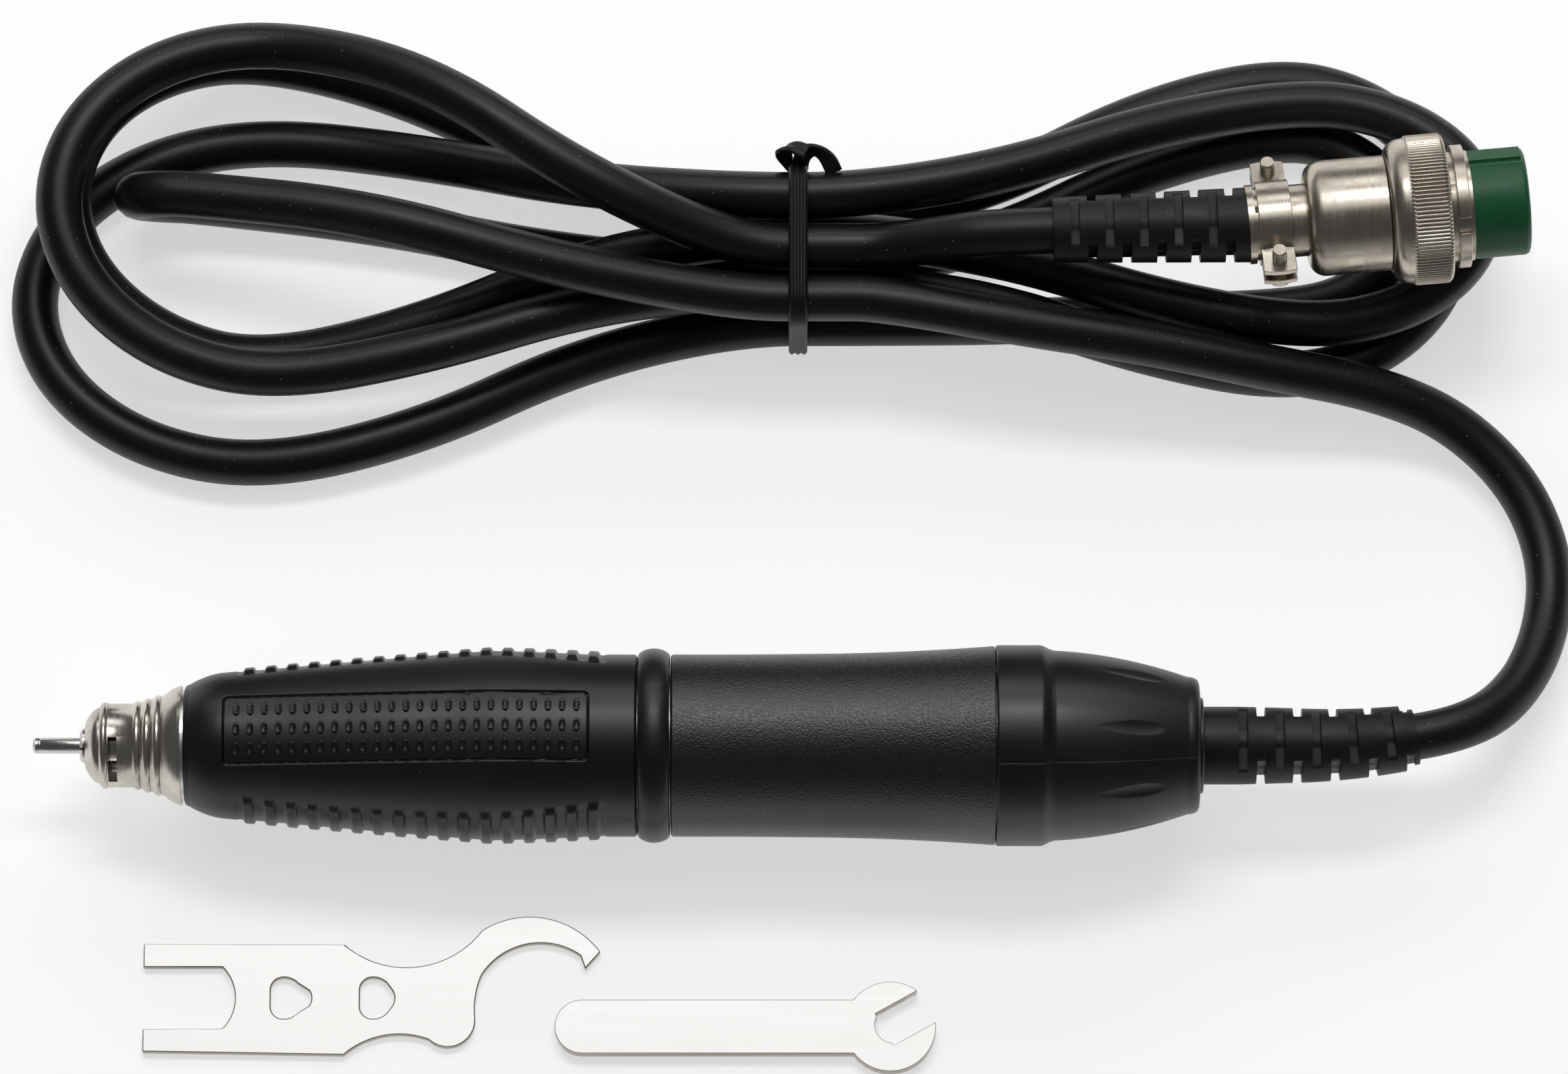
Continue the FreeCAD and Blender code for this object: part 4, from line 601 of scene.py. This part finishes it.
grip = {
    "start": 15.5, "end": 82.2, "lip": (16.2, 9.05), "rounded": (21.5, 10.8), "swell": (60.5, 14.1),
    "back": (77.0, 13.45), "frontBulge": 0.35, "bodyBulge": 0.1, "edgeRun": 0.7, "edgeDrop": 0.45,
    "endRun": 0.4, "endDrop": 0.3,
    "bore": 8.25, "boreAt": 41.0, "wideBore": 10.4, "rearBore": 11.85, "rearBoreAt": 58.0,
    "panelStart": 21.4, "panelEnd": 75.2, "panelHalf": 5.45, "panelCorner": 0.9, "panelDepth": 0.22,
    "panelEdge": 0.12, "grooveDepth": 0.16, "grooveWidth": 0.34,
    "dotsFirst": 23.4, "dotsLast": 73.4, "dotsAlong": 25, "dotRowPitch": 3.1, "dotHalfLength": 0.52,
    "dotHalfWidth": 1.02, "dotHeight": 0.36,
    "ribsStart": 23.4, "ribsEnd": 77.4, "ribCount": 17, "ribHeight": 0.42, "ribFloor": 0.12,
    "padTop": 60.0, "padTopRear": 50.0, "padCurve": 5.0, "padFade": 1.5, "padBottom": 122.0,
    "padBottomFade": 3.0,
}

def gripRadius(x):
    # three shallow arcs end to end; before the lip r = lip - d + d sqrt(f), with f the share of its run
    f = np.clip((x - grip["start"]) / grip["edgeRun"], 0.0, 1.0)
    edge = grip["lip"][1] - grip["edgeDrop"] + grip["edgeDrop"] * np.sqrt(f)
    front = bulged(x, grip["lip"], grip["rounded"], grip["frontBulge"])
    front = np.where(x > grip["lip"][0], front, np.minimum(front, edge))
    middle = bulged(x, grip["rounded"], grip["swell"], grip["bodyBulge"])
    rear = bulged(x, grip["swell"], grip["back"], grip["bodyBulge"])
    radius = np.where(x < grip["rounded"][0], front, np.where(x < grip["swell"][0], middle, rear))
    return radius - grip["endDrop"] * step(x, grip["end"] - grip["endRun"], grip["end"])

def panelRelief(x, arc):
    # rounded rectangle: d is the distance outside its edge; the floor is sunk, with a groove along the edge
    middle, half = (grip["panelStart"] + grip["panelEnd"]) / 2, (grip["panelEnd"] - grip["panelStart"]) / 2
    corner, grooveHalf = grip["panelCorner"], grip["grooveWidth"] / 2
    dx = np.abs(x - middle) - half + corner
    dy = np.abs(arc) - grip["panelHalf"] + corner
    d = np.hypot(np.maximum(dx, 0.0), np.maximum(dy, 0.0)) + np.minimum(np.maximum(dx, dy), 0.0) - corner
    sunk = -grip["panelDepth"] * (1.0 - step(d, -grip["panelEdge"], grip["panelEdge"]))
    groove = -grip["grooveDepth"] * np.clip(1.0 - np.abs(d + grooveHalf) / grooveHalf, 0.0, 1.0)
    return sunk + groove

def padRelief(x, angle, radius):
    # transverse ribs on a pad: a rounded wave along x, faded out at the pad's curved border
    start, end, bottom = grip["ribsStart"], grip["ribsEnd"], grip["padBottom"]
    share = np.clip((x - start) / (end - start), 0.0, 1.0)
    top = grip["padTop"] + (grip["padTopRear"] - grip["padTop"]) * share ** 3
    top = top - grip["padCurve"] * (1.0 - share) ** 6
    size = np.abs(angle)
    below = step((size - top) * radius * np.pi / 180.0, 0.0, grip["padFade"])
    inside = below * (1.0 - step(size, bottom, bottom + grip["padBottomFade"]))
    ends = step(x, start - 0.4, start + 0.2) * (1.0 - step(x, end - 0.2, end + 0.4))
    wave = np.cos(2.0 * np.pi * (share * grip["ribCount"] - 0.5))
    rib = np.clip(0.5 + 1.15 * wave, 0.0, 1.0)
    rib = rib * rib * (3.0 - 2.0 * rib)
    return inside * ends * (grip["ribHeight"] * rib - grip["ribFloor"] * (1.0 - rib))

def makeGrip():
    # surface of revolution of the swelling radius plus both reliefs, closed by the stepped bore;
    # its lines lie closer together at the panel's border and on the ribs
    x = lined((grip["start"], 16.3, 9), (16.3, grip["end"], 360), (21.1, 21.9, 11), (74.7, 75.6, 12),
              (grip["end"] - 0.5, grip["end"], 6))
    half = lined((0.0, 21.0, 8), (21.0, 30.0, 27), (30.0, 48.0, 7), (48.0, 64.0, 25), (64.0, 118.0, 16),
                 (118.0, 128.0, 10), (128.0, 180.0, 14))
    angles = np.concatenate([-half[::-1][:-1], half[:-1]])
    radius = gripRadius(x)[:, None] * np.ones((1, len(angles)))
    arc = np.radians(angles)[None, :] * radius
    shape = radius + panelRelief(x[:, None], arc) + padRelief(x[:, None], angles[None, :], radius)
    bore = np.array([(grip["end"], grip["rearBore"]), (grip["rearBoreAt"], grip["rearBore"]),
                     (grip["rearBoreAt"], grip["wideBore"]), (grip["boreAt"], grip["wideBore"]),
                     (grip["boreAt"], grip["bore"]), (grip["start"], grip["bore"])])
    grid = np.concatenate([turned(x, shape, angles), turned(bore[:, 0], bore[:, 1], angles)])
    makePiece("gripSleeve", grid, True, "satin_black", "grip", ["grip_sleeve"], sharp=40.0)

def makeGripDots():
    # each dot is a long button with a dished top: (a v cos u, b v |sin u|^0.75), its height from a profile
    x0 = np.linspace(grip["dotsFirst"], grip["dotsLast"], grip["dotsAlong"])
    row = np.array([-1.0, 0.0, 1.0]) * grip["dotRowPitch"]
    x0, row = (a.ravel()[:, None, None] for a in np.meshgrid(x0, row, indexing="ij"))
    v = np.array([0.3, 1.0, 1.0, 0.95, 0.84, 0.62, 0.42, 0.15])[None, :, None]
    height = np.array([-0.12, -0.12, 0.35, 0.8, 1.0, 0.92, 0.62, 0.55])[None, :, None]
    u = np.linspace(0.0, 2.0 * np.pi, 16, endpoint=False)[None, None, :]
    across = np.sign(np.sin(u)) * np.abs(np.sin(u)) ** 0.75
    x = x0 + grip["dotHalfLength"] * v * np.cos(u)
    arc = row + grip["dotHalfWidth"] * v * across
    radius = gripRadius(x) - grip["panelDepth"] + grip["dotHeight"] * height
    a = arc / radius
    grids = np.stack([x, -radius * np.sin(a), radius * np.cos(a)], axis=-1)
    makePiece("gripDots", grids, False, "satin_black", "grip", sharp=50.0)

makeGrip()
makeGripDots()
print("grip made")


# rolled ring behind the grip

rollRing = {
    "start": 82.2, "end": 87.0, "edge": 13.6, "top": 14.35, "bore": 11.85, "sunk": 0.25,
    "seamAngle": 156.0, "seamHalf": 0.7, "seamDepth": 0.05,
}

def makeRollRing():
    # half round: r = edge + (top - edge) sin(pi f)^0.6, with a hairline where the mould halves meet
    f = np.linspace(0.0, 1.0, 30)
    x = rollRing["start"] + 0.1 + (rollRing["end"] - rollRing["start"] - 0.15) * f
    foot, rise = rollRing["edge"] - rollRing["sunk"], rollRing["top"] - rollRing["edge"] + rollRing["sunk"]
    radius = foot + rise * np.sin(np.pi * f) ** 0.6
    angles = evenAngles(180)
    fromSeam = (np.abs(angles - 180.0) - rollRing["seamAngle"]) / rollRing["seamHalf"]
    seam = rollRing["seamDepth"] * np.exp(-fromSeam ** 2)
    outer = turned(x, radius[:, None] - seam[None, :], angles)
    inner = turned([x[-1], x[0]], [rollRing["bore"]] * 2, angles)
    makePiece("rollRing", np.concatenate([outer, inner]), True, "satin_black", "grip",
              ["roll_ring"])

makeRollRing()


# motor housing

housing = {
    "start": 87.1, "end": 134.9, "front": 13.45, "middleAt": 112.0, "middle": 13.6, "rear": 14.7,
    "swellFrom": 95.0, "swellTo": 116.0, "flareBulge": -0.16, "bore": 11.81,
    "edge": 0.35, "edgeRun": 0.35, "rearEdge": 0.15, "rearEdgeRun": 0.2,
}

def makeHousing():
    # nearly straight, then flared by a shallow arc; both rims are rounded over
    start, end = housing["start"], housing["end"]
    x = lined((start, start + 0.5, 8), (start + 0.5, end - 0.4, 60), (end - 0.4, end, 6))
    swell = step(x, housing["swellFrom"], housing["swellTo"])
    straight = housing["front"] + (housing["middle"] - housing["front"]) * swell
    flare = bulged(x, (housing["middleAt"], housing["middle"]), (end, housing["rear"]),
                   housing["flareBulge"])
    radius = np.where(x < housing["middleAt"], straight, np.maximum(straight, flare))
    frontShare = np.clip((x - start) / housing["edgeRun"], 0.0, 1.0)
    rearShare = np.clip((end - x) / housing["rearEdgeRun"], 0.0, 1.0)
    radius = radius - housing["edge"] * (1.0 - np.sqrt(frontShare))
    radius = radius - housing["rearEdge"] * (1.0 - np.sqrt(rearShare))
    angles = evenAngles(144)
    inner = turned([x[-1], x[0]], [housing["bore"]] * 2, angles)
    makePiece("motorHousing", np.concatenate([turned(x, radius, angles), inner]), True, "black_lacquer",
              "root", ["motor_housing"])

makeHousing()


# rear cap: band, step, convex taper with scooped flutes, mould seam

rearCap = {
    "start": 135.05, "bandEnd": 142.0, "stepEnd": 143.6, "taperStart": 143.3, "taperEnd": 163.3, "end": 165.0,
    "band": 14.84, "bandEdge": 0.2, "bandEdgeRun": 0.3, "step": 14.05, "taper": 10.15, "endRadius": 9.2,
    "bulge": 0.75, "seat": 11.81, "seatEnd": 138.0, "room": 12.05, "rearRoom": 8.2, "boreRadius": 6.41,
    "wall": 2.0,
    "fluteCount": 8, "fluteFirst": 1.0, "fluteStart": 149.0, "fluteEnd": 159.8, "fluteHalf": 1.1,
    "fluteDepth": 0.2, "seamAngle": 23.6, "seamHalf": 0.3, "seamDepth": 0.04,
}

def capRadius(x):
    # band with a rounded rim, a smooth step down, a convex taper; r1 + (r0 - r1) sqrt(1 - f^2) at the end
    rim = np.clip((x - rearCap["start"]) / rearCap["bandEdgeRun"], 0.0, 1.0)
    band = rearCap["band"] - rearCap["bandEdge"] * (1.0 - np.sqrt(rim))
    slope = step(x, rearCap["bandEnd"] - 0.5, rearCap["stepEnd"])
    taper = bulged(x, (rearCap["taperStart"], rearCap["step"]), (rearCap["taperEnd"], rearCap["taper"]),
                   rearCap["bulge"])
    radius = band + (np.where(x < rearCap["stepEnd"], rearCap["step"] + 0.05, taper) - band) * slope
    f = np.clip((x - rearCap["taperEnd"]) / (rearCap["end"] - rearCap["taperEnd"]), 0.0, 1.0)
    rounded = rearCap["endRadius"] + (rearCap["taper"] - rearCap["endRadius"]) * np.sqrt(1.0 - f * f)
    return np.where(x > rearCap["taperEnd"], rounded, radius)

def fluteRelief(x, angles, radius):
    # scoops: lens = 6.75 f^2 (1 - f) is 1 at two thirds of the length and 0 at both ends; the half width is
    # b sqrt(lens) and the depth d lens (1 - s^2), with s the share of the half width
    f = np.clip((x - rearCap["fluteStart"]) / (rearCap["fluteEnd"] - rearCap["fluteStart"]), 0.0, 1.0)
    lens = np.clip(6.75 * f * f * (1.0 - f), 0.0, 1.0)
    width = rearCap["fluteHalf"] * np.sqrt(lens) + 1e-6
    pitch = 360.0 / rearCap["fluteCount"]
    away = (angles - rearCap["fluteFirst"] + pitch / 2) % pitch - pitch / 2
    s = np.radians(away) * radius / width
    return -rearCap["fluteDepth"] * lens * np.clip(1.0 - s * s, 0.0, 1.0)

def makeRearCap():
    # surface of revolution of the cap's radius less the flutes and a fine seam, closed by the stepped bore
    x = lined((rearCap["start"], 135.5, 6), (135.5, 141.4, 14), (141.4, 144.2, 16),
              (144.2, rearCap["taperEnd"], 74), (rearCap["taperEnd"], rearCap["end"], 10))
    base = rearCap["fluteFirst"] + np.arange(rearCap["fluteCount"])[:, None] * 360.0 / rearCap["fluteCount"]
    local = np.concatenate([np.linspace(-9.5, 9.5, 29), np.linspace(11.0, 34.0, 9)])[None, :]
    seam = rearCap["seamAngle"] + np.array([-0.45, -0.2, 0.0, 0.2, 0.45])
    angles = np.unique(np.round(np.concatenate([(base + local).ravel() % 360.0, seam]), 3))
    radius = capRadius(x)[:, None] * np.ones((1, len(angles)))
    shape = radius + fluteRelief(x[:, None], angles[None, :], radius)
    fromSeam = np.abs(angles - rearCap["seamAngle"]) / rearCap["seamHalf"]
    shape = shape - rearCap["seamDepth"] * np.clip(1.0 - fromSeam, 0.0, 1.0)[None, :]
    wallAt = rearCap["end"] - rearCap["wall"]
    inner = np.array([(rearCap["end"], rearCap["boreRadius"]), (wallAt, rearCap["boreRadius"]),
                      (wallAt, rearCap["rearRoom"]), (rearCap["taperStart"], rearCap["room"]),
                      (rearCap["seatEnd"], rearCap["room"]), (rearCap["seatEnd"], rearCap["seat"]),
                      (rearCap["start"], rearCap["seat"])])
    grid = np.concatenate([turned(x, shape, angles), turned(inner[:, 0], inner[:, 1], angles)])
    makePiece("rearCap", grid, True, "satin_black", "root", ["rear_cap"], sharp=35.0)

makeRearCap()
smoothCopy("cap_boss", "capBoss", "satin_black", "root")
print("housing and rear cap made")


# strain reliefs: round sleeves with slots cut in pairs, in turn from above and below and from both sides

handRelief = {
    "profile": [(163.0, 5.75), (171.0, 5.75), (180.0, 5.5), (187.7, 5.2), (195.4, 4.85), (195.5, 4.2),
                (197.0, 4.1)],
    "firstSlot": 171.4, "slotPitch": 5.4, "slotCount": 5, "slotWidth": 1.3, "web": 3.4, "floor": 3.58,
    "straightEnd": 180.0, "bend": 9.0,
}
plugRelief = {
    "profile": [(-28.8, 4.85), (-20.0, 5.08), (-10.0, 5.33), (0.0, 5.57), (0.3, 5.6)],
    "firstSlot": -25.6, "slotPitch": 5.1, "slotCount": 5, "slotWidth": 1.3, "web": 3.4, "floor": 3.58,
}

def reliefShape(relief):
    # r = outer, and in a slot r = max(web / |cos a|, floor) or the same with |sin a|, never more than outer
    places = relief["firstSlot"] + relief["slotPitch"] / 2 * np.arange(2 * relief["slotCount"])
    half = relief["slotWidth"] / 2
    walls = (places[:, None] + np.array([-half - 0.05, -half, half, half + 0.05])[None, :]).ravel()
    corners = np.array(relief["profile"])
    even = np.linspace(corners[0, 0], corners[-1, 0], 60)
    x = np.unique(np.round(np.concatenate([even, corners[:, 0], walls]), 4))
    angles = evenAngles(96)
    outer = np.interp(x, corners[:, 0], corners[:, 1])[:, None] * np.ones((1, len(angles)))
    nearest = np.abs(x[:, None] - places[None, :]).argmin(axis=1)
    inSlot = (np.abs(x - places[nearest]) < half + 0.001)[:, None]
    a = np.radians(angles)[None, :]
    flatness = np.where((nearest % 2 == 0)[:, None], np.abs(np.cos(a)), np.abs(np.sin(a)))
    cut = np.minimum(np.maximum(relief["web"] / np.maximum(flatness, 0.05), relief["floor"]), outer)
    return x, np.where(inSlot, cut, outer), angles

def makeHandRelief():
    # the sleeve runs straight, then follows a circular arc that turns by the bend angle
    x, radius, angles = reliefShape(handRelief)
    straight = handRelief["straightEnd"]
    bendRadius = (handRelief["profile"][-1][0] - straight) / np.sin(radians(handRelief["bend"]))
    run = np.clip(x - straight, 0.0, None)
    turn = np.arcsin(run / bendRadius)
    grid = turned(np.zeros_like(x), radius, angles)
    across, up = grid[..., 1], grid[..., 2]
    middleY = bendRadius * (1.0 - np.cos(turn))
    bentX = x[:, None] - across * np.sin(turn)[:, None]
    bentY = middleY[:, None] + across * np.cos(turn)[:, None]
    makePiece("handpieceRelief", np.stack([bentX, bentY, up], axis=-1), False, "black_rubber", "root",
              ["handpiece_relief"], sharp=30.0)

def onPlug(grid, yaw=None):
    # from the plug's own axis to its place on the cable
    a = radians(plug["yaw"] if yaw is None else yaw)
    turn = np.array([[np.cos(a), -np.sin(a), 0.0], [np.sin(a), np.cos(a), 0.0], [0.0, 0.0, 1.0]])
    return grid @ turn.T + np.array(plug["place"])

def makePlugRelief():
    # the same sleeve, straight, turned to the cable's direction
    x, radius, angles = reliefShape(plugRelief)
    grid = onPlug(turned(x, radius, angles), plug["reliefYaw"])
    return makePiece("plugRelief", grid, False, "black_rubber", "root", ["plug_relief"],
                     sharp=30.0)

makeHandRelief()
plugPieces = [makePlugRelief()]
print("reliefs made")


# plug: shell, knurled nut, clamp, barrel and insert

plugShell = {
    "start": 8.7, "end": 20.8, "radius": 8.6, "shoulder": 2.6, "groove": 8.0, "grooveEnd": 22.2,
    "grooveSlope": 0.25, "bore": 7.0, "neck": 5.41, "wall": 1.2, "rounding": 0.15,
}

def makePlugShell():
    # quarter round shoulder, plain barrel and a groove behind the nut
    f = np.linspace(0.0, np.pi / 2, 14)
    shoulder = np.column_stack([
        plugShell["start"] + plugShell["shoulder"] * (1.0 - np.cos(f)),
        plugShell["radius"] - plugShell["shoulder"] * (1.0 - np.sin(f)),
    ])
    start, end, grooveEnd = plugShell["start"], plugShell["end"], plugShell["grooveEnd"]
    wallAt = start + plugShell["wall"]
    rest = eased([(end, plugShell["radius"]), (end + plugShell["grooveSlope"], plugShell["groove"]),
                  (grooveEnd, plugShell["groove"]), (grooveEnd, plugShell["bore"]),
                  (wallAt, plugShell["bore"]), (wallAt, plugShell["neck"]), (start, plugShell["neck"])],
                 plugShell["rounding"])
    outline = np.concatenate([shoulder, rest])
    grid = onPlug(turned(outline[:, 0], outline[:, 1], evenAngles(128)))
    return makePiece("plugShell", grid, True, "plug_nickel", "root", ["plug_shell"])

plugNut = {
    "start": 21.0, "length": 8.8, "radius": 11.15, "shoulder": 3.0, "shoulderDrop": 0.35, "foot": 8.75,
    "bore": 8.75, "hub": 8.05, "rim": 1.1, "teeth": 112, "toothDepth": 0.3,
}

def makeNut():
    # knurl: r = base - depth |cos(n a / 2)|^3, on the band only; the shoulder below it stays plain
    bandStart = plugNut["start"] + plugNut["shoulder"]
    end = plugNut["start"] + plugNut["length"]
    f = np.linspace(0.0, np.pi / 2, 10)
    shoulderTop = plugNut["radius"] - plugNut["shoulderDrop"]
    shoulderX = plugNut["start"] + (plugNut["shoulder"] - plugNut["shoulderDrop"]) * (1.0 - np.cos(f))
    shoulderR = shoulderTop - (shoulderTop - plugNut["foot"]) * (1.0 - np.sin(f))
    bandX = np.array([bandStart, bandStart + 0.15, bandStart + 0.45, end - 0.7, end - 0.45, end - 0.1, end])
    bandR = plugNut["radius"] - np.array([0.3, 0.1, 0.0, 0.0, 0.06, 0.42, 0.6])
    depth = plugNut["toothDepth"] * np.array([0.0, 0.6, 1.0, 1.0, 0.8, 0.15, 0.0])
    rimAt = plugNut["start"] + plugNut["rim"]
    innerX = np.array([end, rimAt, rimAt, plugNut["start"]])
    innerR = np.array([plugNut["bore"], plugNut["bore"], plugNut["hub"], plugNut["hub"]])
    x = np.concatenate([shoulderX, bandX, innerX])
    radius = np.concatenate([shoulderR, bandR, innerR])
    cutDepth = np.concatenate([np.zeros(len(f)), depth, np.zeros(len(innerX))])
    angles = evenAngles(plugNut["teeth"] * 6)
    tooth = np.abs(np.cos(np.radians(angles) * plugNut["teeth"] / 2)) ** 3
    grid = turned(x, radius[:, None] - cutDepth[:, None] * tooth[None, :], angles)
    return makePiece("couplingNut", onPlug(grid), True, "plug_nickel", "nut", ["coupling_nut"],
                     sharp=38.0)

clampThread = {
    "at": 3.95, "side": 8.4, "roll": -23.0, "bottom": -1.48, "top": 3.7, "core": 0.96, "depth": 0.14,
    "pitch": 0.5,
}

def makeClampThreads():
    # screw thread: r = core + depth (1 - |2 frac(z / pitch - u / 2 pi) - 1|), round an upright axis on each
    # side, both rolled about the plug's axis
    z = np.linspace(clampThread["bottom"], clampThread["top"], 90)
    u = np.linspace(0.0, 2.0 * np.pi, 20, endpoint=False)
    phase = (z[:, None] / clampThread["pitch"] - u[None, :] / (2.0 * np.pi)) % 1.0
    radius = clampThread["core"] + clampThread["depth"] * (1.0 - np.abs(2.0 * phase - 1.0))
    x = clampThread["at"] + radius * np.cos(u)[None, :]
    y = radius * np.sin(u)[None, :]
    a = radians(clampThread["roll"])
    turn = np.array([[1.0, 0.0, 0.0], [0.0, np.cos(a), -np.sin(a)], [0.0, np.sin(a), np.cos(a)]])
    sides = []
    for side in (-1.0, 1.0):
        grid = np.stack([x, y + side * clampThread["side"], z[:, None] * np.ones_like(x)], axis=-1)
        sides.append(onPlug(grid @ turn.T))
    return makePiece("clampThreads", np.stack(sides), False, "plug_nickel", "root", sharp=60.0)

plugPieces += [
    makePlugShell(), makeNut(), makeClampThreads(),
    smoothCopy("plug_neck", "plugNeck", "plug_nickel", "root"),
    smoothCopy("clamp_halves", "clampHalves", "plug_nickel", "root", bevel=0.12),
    smoothCopy("clamp_screws", "clampScrews", "plug_nickel", "root", bevel=0.12),
    smoothCopy("plug_barrel", "plugBarrel", "plug_nickel", "root"),
    smoothCopy("retaining_ring", "retainingRing", "plug_nickel", "root", bevel=0.1),
    smoothCopy("plug_insulator", "plugInsulator", "green_insert", "root", sharp=30.0),
    smoothCopy("contact_sockets", "contactSockets", "copper", "root"),
]
print("plug made")


# spanners

smoothCopy("combination_spanner", "combinationSpanner", "plate", "spanner_a", bevel=0.18)
smoothCopy("open_end_spanner", "openEndSpanner", "plate", "spanner_b", bevel=0.22)
print("spanners made")


# floor and light

studio = {
    "floorColor": (0.82, 0.82, 0.82), "floorGlow": 0.6, "floorHalf": 3.0, "world": 0.08,
    "aim": (0.1, 0.0, 0.0),
    # name, place, size, power
    "lamps": [
        ("topCard", (0.1, 0.28, 1.3), (0.8, 0.34), 0.8),
        ("keyBox", (0.1, 0.63, 1.15), (0.9, 0.26), 5.0),
        ("rearBox", (0.1, 1.15, 0.75), (1.6, 0.4), 3.5),
        ("frontBox", (0.1, -1.2, 0.25), (1.4, 0.2), 0.3),
    ],
}

def makeFloor():
    # one square at the surface; what the camera, a mirror or glass sees of it also glows towards white
    mesh = bpy.data.meshes.new("floor")
    size, z = studio["floorHalf"], -surfaceDrop * 0.001
    corners = [(-size, -size, z), (size, -size, z), (size, size, z), (-size, size, z)]
    mesh.from_pydata(corners, [], [(0, 1, 2, 3)])
    paper = bpy.data.materials.new("paleFloor")
    paper.use_nodes = True
    tree = paper.node_tree
    shader = tree.nodes["Principled BSDF"]
    shader.inputs["Base Color"].default_value = (*studio["floorColor"], 1.0)
    shader.inputs["Roughness"].default_value = 0.85
    shader.inputs["Specular IOR Level"].default_value = 0.1
    path = tree.nodes.new("ShaderNodeLightPath")
    seen = joined(tree, "MAXIMUM", path.outputs["Is Camera Ray"], path.outputs["Is Glossy Ray"])
    seen = joined(tree, "MAXIMUM", seen, path.outputs["Is Transmission Ray"])
    shader.inputs["Emission Color"].default_value = (1.0, 1.0, 1.0, 1.0)
    tree.links.new(joined(tree, "MULTIPLY", seen, studio["floorGlow"]), shader.inputs["Emission Strength"])
    mesh.materials.append(paper)
    floor = bpy.data.objects.new("floor", mesh)
    scene.collection.objects.link(floor)

def softLight(name, place, size, power):
    # a flat lamp whose own z axis points from the aim to its place, with its long side level
    lamp = bpy.data.lights.new(name, "AREA")
    lamp.shape = "RECTANGLE"
    lamp.size, lamp.size_y = size
    lamp.energy = power
    holder = bpy.data.objects.new(name, lamp)
    scene.collection.objects.link(holder)
    z = np.array(place) - np.array(studio["aim"])
    z = z / np.linalg.norm(z)
    x = np.cross((0.0, 0.0, 1.0), z)
    x = x / np.linalg.norm(x)
    y = np.cross(z, x)
    holder.matrix_world = Matrix([[x[0], y[0], z[0], place[0]], [x[1], y[1], z[1], place[1]],
                                  [x[2], y[2], z[2], place[2]], [0.0, 0.0, 0.0, 1.0]])

def makeWorld():
    world = bpy.data.worlds.new("studio")
    world.use_nodes = True
    sky = world.node_tree.nodes["Background"]
    sky.inputs["Color"].default_value = (1.0, 1.0, 1.0, 1.0)
    sky.inputs["Strength"].default_value = studio["world"]
    scene.world = world

makeFloor()
makeWorld()
for lamp in studio["lamps"]:
    softLight(*lamp)
print("floor and light made")
